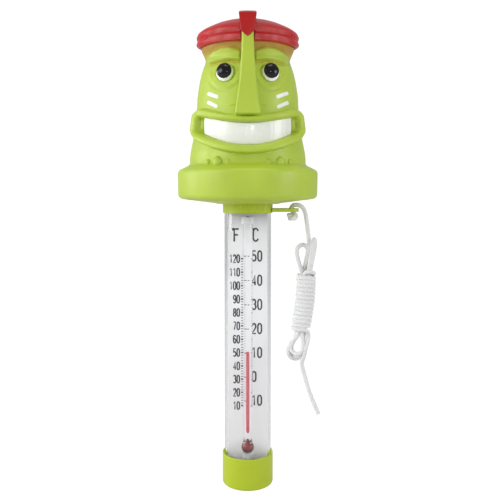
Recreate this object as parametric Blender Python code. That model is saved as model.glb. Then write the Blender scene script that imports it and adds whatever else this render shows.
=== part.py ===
"""Floating pool thermometer: a hollow figure-head float with a clear tube hanging under it.

The origin is on the tube's axis at the waterline. +Z is up, and the face looks along -Y.
Everything is in metres.
"""

import math

import bmesh
import bpy
from mathutils import Matrix, Vector

MM = 0.001
TURN = 2 * math.pi

# Float: the disc that carries the part on the water, and the head on it.
FOOT_LOWEST = 8.5 * MM
HEAD_STEPS = 48
ROUND_STEPS = 32
SMALL_STEPS = 16

# Face.
MOUTH_MIDDLE = 23.4 * MM
MOUTH_HALF_HEIGHT = 5.5 * MM
MOUTH_HALF_ANGLE = math.radians(61)
SMILE_RISE = 5.1 * MM
SMILE_ANGLE = math.radians(55)
MOUTH_ARC_RADIUS = 29.0 * MM
LIP_WIDTH = 3.8 * MM
LIP_HEIGHT = 3.7 * MM
TEETH_INNER = 25.2 * MM
TEETH_OUTER = 26.6 * MM
NOSE_TOP = 71.8 * MM
NOSE_BOTTOM = 33.2 * MM
NOSE_FRONT_TOP = -28.3 * MM
NOSE_FRONT_BOTTOM = -32.6 * MM
NOSE_BACK = -22.0 * MM
EYE_RADIUS = 4.15 * MM
EYE_DOME = 2.6 * MM
EYE_ANGLE = math.radians(26)
EYE_HEIGHT = 53.2 * MM
EYE_SEAT = 24.2 * MM
PUPIL_HALF_ANGLE = math.radians(46)
PUPIL_TILT = math.radians(10)

# Hat and crest.
CREST_HALF_WIDTH = 4.15 * MM
CREST_SHOULDER = 71.4 * MM
CREST_TIP = 69.6 * MM
CREST_FULL_WIDTH = (77.4 * MM, 78.4 * MM)
CREST_TONGUE_BACK = -24.3 * MM

# Tube.
TUBE_RADIUS = 12.0 * MM
TUBE_WALL = 1.2 * MM
TUBE_TOP = -9.0 * MM
TUBE_BOTTOM = -153.6 * MM
COLLAR_RADIUS = 12.8 * MM
COLLAR_BOTTOM = -14.9 * MM
COLLAR_TOP = -5.6 * MM
SPIGOT_RADIUS = 7.0 * MM
SPIGOT_TOP = 1.5 * MM
CAP_RADIUS = 13.15 * MM
CAP_TOP = -140.1 * MM
CAP_BOTTOM = -156.6 * MM
CAP_FLOOR = -155.0 * MM

# Tether lug on the collar.
LUG_TOP = -12.6 * MM
LUG_BOTTOM = -14.4 * MM
LUG_HOLE_X = 22.3 * MM
LUG_HOLE_RADIUS = 2.0 * MM
LUG_HALF_WIDTH = 4.0 * MM

# Thermometer stem, in front of its scale card.
STEM_Y = -2.9 * MM
STEM_RADIUS = 2.45 * MM
STEM_TOP = -16.6 * MM
BULB_MIDDLE = -137.2 * MM
BULB_RADIUS = 3.5 * MM
BULB_BORE = 2.0 * MM
BORE_RADIUS = 0.75 * MM
READING = -86.6 * MM
CARD_HALF_WIDTH = 10.3 * MM
CARD_FRONT = 1.0 * MM
CARD_BACK = 1.6 * MM

# Tether cord: its route from the lug to the hank, and from the hank to its free end.
CORD_RADIUS = 1.0 * MM
LEAD_ROUTE = [
    (22.3, 0.0, -14.3),
    (22.35, 0.0, -12.9),
    (22.9, 0.0, -11.6),
    (24.0, 0.0, -10.9),
    (25.8, 0.0, -10.9),
    (27.7, 0.1, -11.7),
    (29.2, 0.2, -13.6),
    (30.0, 0.3, -16.4),
    (30.6, 0.3, -20.5),
    (31.1, 0.2, -24.5),
    (31.5, 0.0, -28.6),
]
TAIL_ROUTE = [
    (27.8, 0.0, -92.2),
    (28.3, -0.1, -94.5),
    (29.2, -0.2, -98.0),
    (30.4, -0.3, -102.5),
    (31.9, -0.4, -107.5),
    (33.9, -0.4, -113.0),
    (37.0, -0.4, -120.3),
]
HANK_TOP = Vector((31.7, 0.0, -29.4)) * MM
HANK_FOOT = Vector((25.9, 0.0, -91.6)) * MM
HANK_RADIUS = 5.3 * MM
KNOT_MIDDLE = Vector((23.0, 0.0, -16.8)) * MM
KNOT_SIZE = Vector((2.9, 2.8, 2.0)) * MM

GAP = 0.3 * MM
ON_AXIS = 1e-7

# The head's outline from the disc's lower edge up to the crown under the hat, as (radius, height).
HEAD_OUTLINE = [
    (34.6, -7.7), (35.5, -7.4), (35.8, -6.7), (35.8, 5.6), (35.3, 6.8), (34.2, 7.6), (30.3, 9.6),
    (29.6, 10.6), (29.6, 12.0), (29.4, 13.6), (29.2, 15.2), (28.9, 16.8), (28.6, 18.4), (28.3, 20.0),
    (28.0, 21.8), (27.7, 23.6), (27.3, 25.4), (27.0, 27.2), (26.7, 29.0), (26.5, 30.8), (26.3, 32.4),
    (26.1, 34.0), (26.0, 35.8), (25.9, 38.0), (25.8, 42.0), (25.5, 46.5), (24.7, 51.0), (23.6, 55.2),
    (22.5, 58.6), (21.7, 61.8), (22.2, 63.7), (23.0, 65.8), (23.4, 67.4), (23.1, 69.2), (22.2, 71.6),
    (20.3, 73.8), (17.0, 75.8), (11.5, 77.4), (0.0, 78.3),
]  # fmt: skip
HEAD_CAVITY = [
    (0.0, 76.3), (11.0, 75.4), (17.2, 73.4), (20.4, 70.0), (20.1, 62.0), (21.3, 54.0), (23.0, 44.0),
    (23.7, 34.0), (23.8, 22.0), (26.9, 13.0), (27.6, 8.8), (32.2, 6.6), (34.0, 5.0), (34.0, -3.0),
    (31.5, -3.0), (31.5, -4.5), (34.0, -4.5), (34.0, -7.7),
]  # fmt: skip
HAT_OUTLINE = [
    (24.1, 68.0), (25.2, 67.7), (26.2, 68.3), (26.5, 69.4), (26.1, 70.5), (25.4, 71.1), (26.1, 71.9),
    (26.4, 73.2), (26.2, 74.6), (25.3, 76.1), (23.2, 77.6), (17.0, 79.9), (10.0, 81.6), (0.0, 82.4),
]  # fmt: skip
HAT_CAVITY = [(0.0, 78.7), (11.7, 77.8), (17.3, 76.2), (20.8, 74.1), (22.7, 71.8), (23.6, 69.2)]
CREST_SIDE = [
    (-28.5, 71.4), (-28.5, 77.4), (-28.5, 78.4), (-28.5, 79.9), (-20.0, 82.6), (-10.0, 84.2), (0.0, 84.7),
    (10.0, 84.1), (18.0, 81.8), (24.4, 77.4), (22.4, 76.5), (16.0, 79.0), (9.0, 80.7), (0.0, 81.4),
    (-9.0, 80.7), (-16.0, 79.0), (-22.4, 76.5), (-24.3, 76.5), (-24.3, 71.4),
]  # fmt: skip


def clear_scene():
    for obj in list(bpy.data.objects):
        bpy.data.objects.remove(obj)


def material(name, colour, roughness=0.4, metallic=0.0, transmission=0.0):
    made = bpy.data.materials.new(name)
    made.use_nodes = True
    shader = made.node_tree.nodes["Principled BSDF"]
    shader.inputs["Base Color"].default_value = (*colour, 1.0)
    shader.inputs["Roughness"].default_value = roughness
    shader.inputs["Metallic"].default_value = metallic
    shader.inputs["Transmission Weight"].default_value = transmission
    return made


def millimetres(points):
    """Turns points given in millimetres into metres."""
    return [tuple(value * MM for value in point) for point in points]


def add_object(name, bm, mat):
    bmesh.ops.recalc_face_normals(bm, faces=bm.faces)
    mesh = bpy.data.meshes.new(name)
    bm.to_mesh(mesh)
    bm.free()
    mesh.materials.append(mat)
    mesh.shade_smooth()
    mesh.set_sharp_from_angle(angle=math.radians(35))
    obj = bpy.data.objects.new(name, mesh)
    bpy.context.scene.collection.objects.link(obj)
    return obj


def lathe_mesh(profile, steps, closed=False):
    """Turns a profile of (radius, height) round Z. Points at radius 0 become poles.

    A closed profile may touch the axis twice: the edge between its two poles is left out.
    """
    bm = bmesh.new()
    verts = [bm.verts.new((radius if radius > ON_AXIS else 0, 0, height)) for radius, height in profile]
    pairs = list(zip(verts, verts[1:]))
    if closed:
        pairs.append((verts[-1], verts[0]))
    edges = [bm.edges.new(pair) for pair in pairs if max(vert.co.x for vert in pair) > ON_AXIS]
    bmesh.ops.spin(bm, geom=verts + edges, axis=(0, 0, 1), cent=(0, 0, 0), angle=TURN, steps=steps, use_merge=True)
    bmesh.ops.remove_doubles(bm, verts=bm.verts, dist=1e-6)
    bmesh.ops.dissolve_degenerate(bm, edges=bm.edges, dist=1e-7)
    return bm


def lathe(name, profile, mat, steps=ROUND_STEPS, closed=False):
    return add_object(name, lathe_mesh(profile, steps, closed), mat)


def ring(name, inner, outer, bottom, top, mat, steps=ROUND_STEPS):
    profile = [(inner, bottom), (outer, bottom), (outer, top), (inner, top)]
    return lathe(name, profile, mat, steps, closed=True)


def arc(middle, radius, start, end, count):
    """Points of an arc in the profile plane, as (radius, height); angles are in degrees from +r."""
    angles = [math.radians(start + (end - start) * i / (count - 1)) for i in range(count)]
    return [(middle[0] + radius * math.cos(a), middle[1] + radius * math.sin(a)) for a in angles]


def cutter(obj):
    obj.hide_render = True
    obj.display_type = "WIRE"
    return obj


def boolean(obj, other, operation="DIFFERENCE"):
    modifier = obj.modifiers.new(other.name, "BOOLEAN")
    modifier.operation = operation
    modifier.object = cutter(other)


def box(name, low, high, mat):
    bm = bmesh.new()
    bmesh.ops.create_cube(bm, size=1.0)
    size = [b - a for a, b in zip(low, high)]
    middle = [(a + b) / 2 for a, b in zip(low, high)]
    bmesh.ops.scale(bm, vec=size, verts=bm.verts)
    bmesh.ops.translate(bm, vec=middle, verts=bm.verts)
    return add_object(name, bm, mat)


def mouth_height(angle):
    return MOUTH_MIDDLE + SMILE_RISE * (angle / SMILE_ANGLE) ** 2


def mouth_distance(angle, height, corner=3.5 * MM):
    """How far a point of the face is outside the mouth's opening, which is a bent round-cornered slot."""
    across = abs(angle) * MOUTH_ARC_RADIUS - (MOUTH_HALF_ANGLE * MOUTH_ARC_RADIUS - corner)
    up = abs(height - mouth_height(angle)) - (MOUTH_HALF_HEIGHT - corner)
    return math.hypot(max(across, 0), max(up, 0)) + min(max(across, up), 0) - corner


def lip_bulge(angle, height):
    away = (mouth_distance(angle, height) - LIP_WIDTH / 2) / (0.62 * LIP_WIDTH)
    inner = 1.0 if away < 0 else math.sqrt(max(0.0, 1 - away * away))
    return LIP_HEIGHT * inner


def bump(angle, height, at_angle, at_height, width, tall, size):
    across = (angle - at_angle) * MOUTH_ARC_RADIUS / width
    up = (height - at_height) / tall
    return size * math.exp(-across * across - up * up)


def face_radius(angle, radius, height):
    """The head's radius at an angle from the face's middle, with the lips, brows and toes on it."""
    if height < FOOT_LOWEST:
        return radius
    made = radius
    if height > 40 * MM:
        made += bump(abs(angle), height, math.radians(26), 60 * MM, 8 * MM, 2.5 * MM, 1.7 * MM)
        made -= bump(abs(angle), height, math.radians(26), 52 * MM, 5 * MM, 4 * MM, 0.8 * MM)
    elif height > MOUTH_MIDDLE - 12 * MM:
        made += lip_bulge(angle, height)
    for toe in (22, 31, 40):
        made += bump(abs(angle), height, math.radians(toe), 10.4 * MM, 1.6 * MM, 1.6 * MM, 1.4 * MM)
    return made


def make_head_shell(mat):
    """The hollow head and disc, open below, with the mouth, the eye pockets and the crest's seat cut in it."""
    outer, cavity = millimetres(HEAD_OUTLINE), millimetres(HEAD_CAVITY)
    bm = lathe_mesh(outer + cavity, HEAD_STEPS, closed=True)
    for vert in bm.verts:
        x, y, z = vert.co
        radius, angle = math.hypot(x, y), math.atan2(x, -y)
        on_outside = min(abs(radius - r) + abs(z - h) for r, h in outer) < 1e-5
        if not on_outside or radius < ON_AXIS:
            continue
        # Columns gather towards the face, where the detail is.
        angle -= 0.42 * math.sin(angle)
        made = face_radius(angle, radius, z)
        vert.co.x, vert.co.y = made * math.sin(angle), -made * math.cos(angle)
    head = add_object("head_shell", bm, mat)
    boolean(head, make_nose(mat), "UNION")
    boolean(head, mouth_solid("mouth_cutter", TEETH_INNER - GAP, 40 * MM, GAP, mat))
    for side in (-1, 1):
        boolean(head, eye_piece(f"eye_cutter_{side}", side, eye_pocket_profile(), mat))
    boolean(head, crest_seat_cutter(mat))
    return head


def make_nose(mat):
    """A wedge down the middle of the face, wider and further out at its foot."""
    bm = bmesh.new()
    ends = [(NOSE_BOTTOM, NOSE_FRONT_BOTTOM, 4.3, 6.1), (NOSE_TOP, NOSE_FRONT_TOP, 2.6, 3.2)]
    loops = []
    for height, front, front_half, back_half in ends:
        corners = [(-back_half * MM, NOSE_BACK), (-front_half * MM, front), (front_half * MM, front)]
        corners.append((back_half * MM, NOSE_BACK))
        loops.append([bm.verts.new((x, y, height)) for x, y in corners])
        bm.faces.new(loops[-1])
    for a in range(4):
        b = (a + 1) % 4
        bm.faces.new([loops[0][a], loops[0][b], loops[1][b], loops[1][a]])
    return add_object("nose", bm, mat)


def mouth_solid(name, inner, outer, more, mat, steps=26):
    """A bent slab that follows the smile, between two radii, and larger by more than the teeth all round."""
    half_angle = MOUTH_HALF_ANGLE - 3 * MM / MOUTH_ARC_RADIUS + more / MOUTH_ARC_RADIUS
    half_height = MOUTH_HALF_HEIGHT - GAP + more
    bm = bmesh.new()
    corners = [(inner, -half_height), (outer, -half_height), (outer, half_height), (inner, half_height)]
    face = bm.faces.new([bm.verts.new((0, -radius, height)) for radius, height in corners])
    bmesh.ops.rotate(bm, verts=bm.verts, cent=(0, 0, 0), matrix=Matrix.Rotation(-half_angle, 3, "Z"))
    geom = [face, *face.edges, *face.verts]
    bmesh.ops.spin(bm, geom=geom, axis=(0, 0, 1), cent=(0, 0, 0), angle=2 * half_angle, steps=steps)
    for vert in bm.verts:
        vert.co.z += mouth_height(math.atan2(vert.co.x, -vert.co.y))
    return add_object(name, bm, mat)


def eye_profile():
    """A dome on a short plug, round its own axis; the plug's back is below the face."""
    middle = EYE_DOME - (EYE_RADIUS**2 + EYE_DOME**2) / (2 * EYE_DOME)
    radius = EYE_DOME - middle
    start = math.degrees(math.atan2(-middle, EYE_RADIUS))
    return [(0.0, -1.2 * MM), (EYE_RADIUS, -1.2 * MM), *arc((0, middle), radius, start, 90, 7)]


def eye_pocket_profile():
    reach = EYE_RADIUS + GAP
    return [(0.0, -1.5 * MM), (reach, -1.5 * MM), (reach, 6 * MM), (0.0, 6 * MM)]


def pupil_profile():
    """A thin curved cap that fits on the eye's dome."""
    middle = EYE_DOME - (EYE_RADIUS**2 + EYE_DOME**2) / (2 * EYE_DOME)
    back, front = EYE_DOME - middle + 0.14 * MM, EYE_DOME - middle + 0.45 * MM
    edge = 90 - math.degrees(PUPIL_HALF_ANGLE)
    return [*arc((0, middle), back, 90, edge, 5), *arc((0, middle), front, edge, 90, 5)]


def eye_piece(name, side, profile, mat, tilt=0.0):
    """Turns a profile round the eye's own axis, which points out of the face on one side."""
    obj = lathe(name, profile, mat, SMALL_STEPS)
    outward = Matrix.Rotation(side * EYE_ANGLE * 0.8, 4, "Z") @ Matrix.Rotation(math.pi / 2, 4, "X")
    middle = EYE_DOME - (EYE_RADIUS**2 + EYE_DOME**2) / (2 * EYE_DOME)
    pivot = Matrix.Translation((0, 0, middle))
    lift = pivot @ Matrix.Rotation(-tilt, 4, "X") @ pivot.inverted()
    angle = side * EYE_ANGLE
    place = Matrix.Translation((EYE_SEAT * math.sin(angle), -EYE_SEAT * math.cos(angle), EYE_HEIGHT))
    obj.matrix_world = place @ outward @ lift
    return obj


def crest_seat_cutter(mat):
    """Takes the nose away above the V in which the crest's tongue ends."""
    wide, slope = 5.2 * MM, (CREST_SHOULDER - CREST_TIP) / (3.1 * MM)
    tip, shoulder = CREST_TIP - 0.35 * MM, CREST_TIP - 0.35 * MM + slope * wide
    outline = [(-wide, shoulder), (0, tip), (wide, shoulder), (wide, 90 * MM), (-wide, 90 * MM)]
    bm = bmesh.new()
    face = bm.faces.new([bm.verts.new((x, -40 * MM, z)) for x, z in outline])
    made = bmesh.ops.extrude_face_region(bm, geom=[face])["geom"]
    verts = [item for item in made if isinstance(item, bmesh.types.BMVert)]
    bmesh.ops.translate(bm, vec=(0, 40 * MM + CREST_TONGUE_BACK + 0.25 * MM, 0), verts=verts)
    return add_object("crest_seat_cutter", bm, mat)


def make_base_plate(mat):
    """Closes the float from below; its boss holds the collar's spigot."""
    profile = millimetres(
        [
            (33.7, -7.7), (33.7, -5.7), (15.1, -8.3), (15.1, -3.4), (9.5, -3.4), (9.5, -1.0),
            (7.3, -1.0), (7.3, -5.2), (13.1, -5.2), (13.1, -10.4),
        ]
    )  # fmt: skip
    return lathe("base_plate", profile, mat, closed=True)


def make_hat(mat):
    """The red cap on the crown, with a channel for the crest and a slot for the nose."""
    profile = millimetres(HAT_OUTLINE + HAT_CAVITY)
    hat = lathe("hat_cap", profile, mat, closed=True)
    boolean(hat, box("nose_slot", (-3.7 * MM, -40 * MM, 60 * MM), (3.7 * MM, -21.5 * MM, 72.2 * MM), mat))
    tongue_end = CREST_TONGUE_BACK + GAP
    boolean(hat, box("tongue_slot", (-4.5 * MM, -40 * MM, 71.6 * MM), (4.5 * MM, tongue_end, 90 * MM), mat))
    boolean(hat, crest_channel_cutter(mat))
    return hat


def crest_channel_cutter(mat):
    """The space that the crest's bar takes in the hat, with a gap under and beside it."""
    under = [(25.6, 76.1), (22.4, 76.2), (16.0, 78.7), (9.0, 80.4), (0.0, 81.1)]
    points = under + [(-y, z) for y, z in reversed(under[:-1])]
    outline = [(-30.0, 95.0), (30.0, 95.0), *points, (-26.0, 76.1)]
    return extruded_side("crest_channel", millimetres(outline), CREST_HALF_WIDTH + 0.35 * MM, mat)


def extruded_side(name, outline, half_width, mat):
    """Extrudes an outline in the YZ plane to both sides."""
    bm = bmesh.new()
    face = bm.faces.new([bm.verts.new((-half_width, y, z)) for y, z in outline])
    made = bmesh.ops.extrude_face_region(bm, geom=[face])["geom"]
    verts = [item for item in made if isinstance(item, bmesh.types.BMVert)]
    bmesh.ops.translate(bm, vec=(2 * half_width, 0, 0), verts=verts)
    return add_object(name, bm, mat)


def crest_half_width(height):
    """Full width on top, and narrower below, down to the width of the nose."""
    low, high = CREST_FULL_WIDTH
    share = min(1.0, max(0.0, (height - low) / (high - low)))
    narrow = 3.1 * MM + 0.6 * MM * (height - CREST_TIP) / (low - CREST_TIP)
    return narrow + (CREST_HALF_WIDTH - narrow) * share


def make_crest(mat):
    """The red crest: a bar over the hat with a tongue in front that ends in a V."""
    bm = bmesh.new()
    outline = millimetres(CREST_SIDE)
    face = bm.faces.new([bm.verts.new((-1, y, z)) for y, z in outline])
    for _ in range(2):
        made = bmesh.ops.extrude_face_region(bm, geom=[face])["geom"]
        verts = [item for item in made if isinstance(item, bmesh.types.BMVert)]
        face = next(item for item in made if isinstance(item, bmesh.types.BMFace))
        bmesh.ops.translate(bm, vec=(1, 0, 0), verts=verts)
    inner = [f for f in bm.faces if all(abs(v.co.x) < 1e-6 for v in f.verts)]
    bmesh.ops.delete(bm, geom=inner, context="FACES_ONLY")
    for vert in bm.verts:
        if abs(vert.co.x) < 1e-6 and abs(vert.co.z - CREST_SHOULDER) < 1e-6:
            vert.co.z = CREST_TIP
        on_tongue = vert.co.y < -24 * MM
        vert.co.x *= crest_half_width(vert.co.z) if on_tongue else CREST_HALF_WIDTH
    return add_object("crest_block", bm, mat)


def make_collar(mat):
    """The tube's top cap: a skirt round the tube, a spigot up into the float, and the tether lug."""
    bead = SPIGOT_RADIUS + 0.7 * MM
    outline = [
        (0.0, COLLAR_BOTTOM), (COLLAR_RADIUS - 0.3 * MM, COLLAR_BOTTOM), (COLLAR_RADIUS, COLLAR_BOTTOM + 0.3 * MM),
        (COLLAR_RADIUS, COLLAR_TOP - 0.3 * MM), (COLLAR_RADIUS - 0.3 * MM, COLLAR_TOP), (SPIGOT_RADIUS, COLLAR_TOP),
        (SPIGOT_RADIUS, -4.6 * MM), (5.95 * MM, -4.6 * MM), (5.95 * MM, -3.0 * MM), (SPIGOT_RADIUS, -3.0 * MM),
        (SPIGOT_RADIUS, -0.6 * MM), (bead, -0.1 * MM), (bead, 0.5 * MM), (SPIGOT_RADIUS - 0.4 * MM, SPIGOT_TOP),
        (0.0, SPIGOT_TOP),
    ]  # fmt: skip
    collar = lathe("collar", outline, mat)
    boolean(collar, make_lug(mat), "UNION")
    bore = TUBE_RADIUS + 0.15 * MM
    hollow = [(0.0, COLLAR_BOTTOM - MM), (bore, COLLAR_BOTTOM - MM), (bore, -7.6 * MM), (5.0 * MM, -7.6 * MM)]
    hollow += [(5.0 * MM, 0.2 * MM), (0.0, 0.2 * MM)]
    boolean(collar, lathe("collar_bore", hollow, mat))
    hole = lathe("lug_hole", [(0, -17 * MM), (LUG_HOLE_RADIUS, -17 * MM), (LUG_HOLE_RADIUS, -11 * MM), (0, -11 * MM)], mat)
    hole.location.x = LUG_HOLE_X
    boolean(collar, hole)
    return collar


def make_lug(mat):
    """A flat tongue with a round end, reaching out of the collar along +X."""
    turns = [math.radians(-90 + 180 * i / 12) for i in range(13)]
    end = [(LUG_HOLE_X + LUG_HALF_WIDTH * math.cos(a), LUG_HALF_WIDTH * math.sin(a)) for a in turns]
    root = 11.0 * MM
    outline = [(root, -LUG_HALF_WIDTH), *end, (root, LUG_HALF_WIDTH)]
    bm = bmesh.new()
    face = bm.faces.new([bm.verts.new((x, y, LUG_BOTTOM)) for x, y in outline])
    made = bmesh.ops.extrude_face_region(bm, geom=[face])["geom"]
    verts = [item for item in made if isinstance(item, bmesh.types.BMVert)]
    bmesh.ops.translate(bm, vec=(0, 0, LUG_TOP - LUG_BOTTOM), verts=verts)
    return add_object("lug", bm, mat)


def make_end_cap(mat):
    inner, fillet = TUBE_RADIUS + 0.15 * MM, 2.0 * MM
    profile = [
        (0.0, CAP_FLOOR), (inner, CAP_FLOOR), (inner, CAP_TOP - 0.3 * MM), (inner + 0.3 * MM, CAP_TOP),
        (CAP_RADIUS - 0.3 * MM, CAP_TOP), (CAP_RADIUS, CAP_TOP - 0.3 * MM),
        *arc((CAP_RADIUS - fillet, CAP_BOTTOM + fillet), fillet, 0, -90, 6), (0.0, CAP_BOTTOM),
    ]  # fmt: skip
    return lathe("end_cap", profile, mat)


def stem_piece(name, profile, mat, closed=False):
    """A turned piece round the stem's own axis, which is in front of the tube's."""
    obj = lathe(name, profile, mat, SMALL_STEPS, closed)
    obj.location.y = STEM_Y
    return obj


def make_glass_stem(mat):
    """A thick glass stem with a capillary that widens into the bulb. The capillary is open at the top."""
    outside = [
        (BORE_RADIUS, STEM_TOP), (STEM_RADIUS - 0.6 * MM, STEM_TOP), (STEM_RADIUS, STEM_TOP - 0.6 * MM),
        (STEM_RADIUS, -128 * MM), (2.1 * MM, -131.5 * MM), (2.3 * MM, -133.8 * MM),
        *arc((0, BULB_MIDDLE), BULB_RADIUS, 42, -90, 8),
    ]  # fmt: skip
    inside = [
        *arc((0, BULB_MIDDLE), BULB_BORE, -90, 66, 8), (0.75 * MM, -133.9 * MM), (0.75 * MM, -131.8 * MM),
        (0.35 * MM, -131.1 * MM), (0.35 * MM, -129.1 * MM), (BORE_RADIUS, -125.4 * MM),
    ]  # fmt: skip
    return stem_piece("glass_stem", outside + inside, mat, closed=True)


def make_bulb_liquid(mat):
    ball = arc((0, BULB_MIDDLE), BULB_BORE - 0.15 * MM, -90, 70, 9)
    neck = [(0.55 * MM, -134.0 * MM), (0.55 * MM, -132.1 * MM), (0.15 * MM, -131.5 * MM), (0.0, -131.5 * MM)]
    return stem_piece("bulb_liquid", ball + neck, mat)


def make_liquid_column(mat):
    """The red thread in the capillary, up to the reading. It thins where the capillary does."""
    profile = [
        (0.0, -131.2 * MM), (0.2 * MM, -131.2 * MM), (0.2 * MM, -129.1 * MM), (0.6 * MM, -125.8 * MM),
        (0.6 * MM, READING - 0.3 * MM), (0.4 * MM, READING), (0.0, READING),
    ]  # fmt: skip
    return stem_piece("liquid_column", profile, mat)


def smooth_route(points, spacing):
    """Points about spacing apart on a smooth curve through the route's own points."""
    route = [Vector(p) * MM for p in points]
    ends = [route[0] * 2 - route[1], *route, route[-1] * 2 - route[-2]]
    fine = []
    for a, b, c, d in zip(ends, ends[1:], ends[2:], ends[3:]):
        for i in range(12):
            t = i / 12
            fine.append(
                0.5 * (2 * b + (c - a) * t + (2 * a - 5 * b + 4 * c - d) * t**2 + (3 * b - a - 3 * c + d) * t**3)
            )
    fine.append(route[-1])
    length = sum((q - p).length for p, q in zip(fine, fine[1:]))
    count = max(2, round(length / spacing))
    made, walked, target = [fine[0]], 0.0, length / count
    for p, q in zip(fine, fine[1:]):
        step = (q - p).length
        while walked + step >= target - 1e-9 and len(made) < count:
            made.append(p.lerp(q, (target - walked) / step))
            target += length / count
        walked += step
    return made + [fine[-1]]


def cord(name, points, mat):
    """A plain tube along a route."""
    curve = bpy.data.curves.new(name, "CURVE")
    curve.dimensions = "3D"
    curve.bevel_depth = CORD_RADIUS
    curve.bevel_resolution = 2
    curve.use_fill_caps = True
    route = smooth_route(points, 1.8 * CORD_RADIUS)
    spline = curve.splines.new("POLY")
    spline.points.add(len(route) - 1)
    for point, place in zip(spline.points, route):
        point.co = (*place, 1.0)
    curve.materials.append(mat)
    obj = bpy.data.objects.new(name, curve)
    bpy.context.scene.collection.objects.link(obj)
    return obj


def make_hank(mat):
    """The outer shape of the wound-up cord: narrow at its loops, full where it is bound."""
    along = HANK_FOOT - HANK_TOP
    shape = [
        (0.0, 0.0), (0.45, 0.006), (0.9, 0.04), (1.0, 0.12), (0.9, 0.24), (0.94, 0.3), (0.94, 0.74), (0.88, 0.78),
        (1.02, 0.86), (0.98, 0.93), (0.7, 0.98), (0.35, 0.997), (0.0, 1.0),
    ]  # fmt: skip
    profile = [(HANK_RADIUS * r, share * along.length) for r, share in shape]
    obj = lathe("tether_hank", profile, mat, SMALL_STEPS)
    obj.matrix_world = Matrix.Translation(HANK_TOP) @ along.to_track_quat("Z", "Y").to_matrix().to_4x4()
    return obj


def make_knot(mat):
    bm = bmesh.new()
    bmesh.ops.create_uvsphere(bm, u_segments=16, v_segments=8, radius=1.0)
    bmesh.ops.scale(bm, vec=KNOT_SIZE, verts=bm.verts)
    obj = add_object("tether_knot", bm, mat)
    obj.location = KNOT_MIDDLE
    return obj


def main():
    clear_scene()
    green = material("green_plastic", (0.43, 0.60, 0.06), 0.42)
    red = material("red_plastic", (0.52, 0.03, 0.03), 0.35)
    white = material("white_plastic", (0.85, 0.85, 0.83), 0.35)
    black = material("black_gloss", (0.01, 0.01, 0.015), 0.08)
    clear = material("clear_plastic", (0.95, 0.96, 0.97), 0.05, transmission=1.0)
    glass = material("glass", (0.95, 0.97, 0.97), 0.02, transmission=1.0)
    liquid = material("red_liquid", (0.6, 0.01, 0.03), 0.1)
    card = material("card_white", (0.82, 0.82, 0.82), 0.5)
    rubber = material("black_rubber", (0.02, 0.02, 0.02), 0.7)
    steel = material("steel", (0.55, 0.55, 0.56), 0.35, metallic=1.0)
    nylon = material("clip_nylon", (0.8, 0.8, 0.79), 0.4)
    rope = material("cord_white", (0.8, 0.8, 0.8), 0.8)

    make_head_shell(green)
    make_base_plate(green)
    ring("base_gasket", 31.8 * MM, 33.6 * MM, -5.4 * MM, -4.8 * MM, rubber)
    make_hat(red)
    make_crest(red)
    mouth_solid("teeth_plate", TEETH_INNER, TEETH_OUTER, 0.0, white)
    for side, name in ((-1, "left"), (1, "right")):
        eye_piece(f"eye_white_{name}", side, eye_profile(), white)
        eye_piece(f"pupil_{name}", side, pupil_profile(), black, PUPIL_TILT)

    make_collar(green)
    lathe("swivel_o_ring", arc((6.58 * MM, -3.8 * MM), 0.52 * MM, 0, 300, 6), rubber, closed=True)
    ring("top_seal", TUBE_RADIUS - 1.1 * MM, TUBE_RADIUS, -8.75 * MM, -7.85 * MM, rubber)
    ring("tube_casing", TUBE_RADIUS - TUBE_WALL, TUBE_RADIUS, TUBE_BOTTOM, TUBE_TOP, clear)
    ring("bottom_seal", TUBE_RADIUS - 1.1 * MM, TUBE_RADIUS, -154.75 * MM, -153.85 * MM, rubber)
    make_end_cap(green)
    ballast = [(0, -154.7), (9.9, -154.7), (10.3, -154.3), (10.3, -146.3), (9.9, -145.9), (0, -145.9)]
    lathe("ballast_weight", millimetres(ballast), steel)
    cushion = [(0, -145.6), (3.0, -145.6), (3.0, -139.8), (2.5, -139.95), (1.5, -140.7), (0, -141.05)]
    stem_piece("bulb_cushion", millimetres(cushion), rubber)
    box(
        "scale_card",
        (-CARD_HALF_WIDTH, CARD_FRONT, -145.5 * MM),
        (CARD_HALF_WIDTH, CARD_BACK, -16.9 * MM),
        card,
    )
    make_glass_stem(glass)
    make_bulb_liquid(liquid)
    make_liquid_column(liquid)
    sleeve = millimetres([(2.75, -20.6), (3.4, -20.6), (3.0, -17.0), (2.75, -17.0)])
    stem_piece("stem_sleeve", sleeve, nylon, closed=True)

    make_knot(rope)
    cord("tether_lead", LEAD_ROUTE, rope)
    make_hank(rope)
    cord("tether_tail", TAIL_ROUTE, rope)


main()
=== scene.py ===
"""Looks of a floating pool thermometer: a carved-idol head on a disc float, and a clear tube below it.

The add-on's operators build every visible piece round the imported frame. +Z is up and the face looks
along -Y. Sizes are in metres; the outlines below are in millimetres and are turned into metres where
they are used.
"""

import math

import bmesh
import bpy
import numpy as np
from bpy.props import FloatProperty, FloatVectorProperty, IntProperty, PointerProperty
from mathutils import Matrix, Vector


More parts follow.
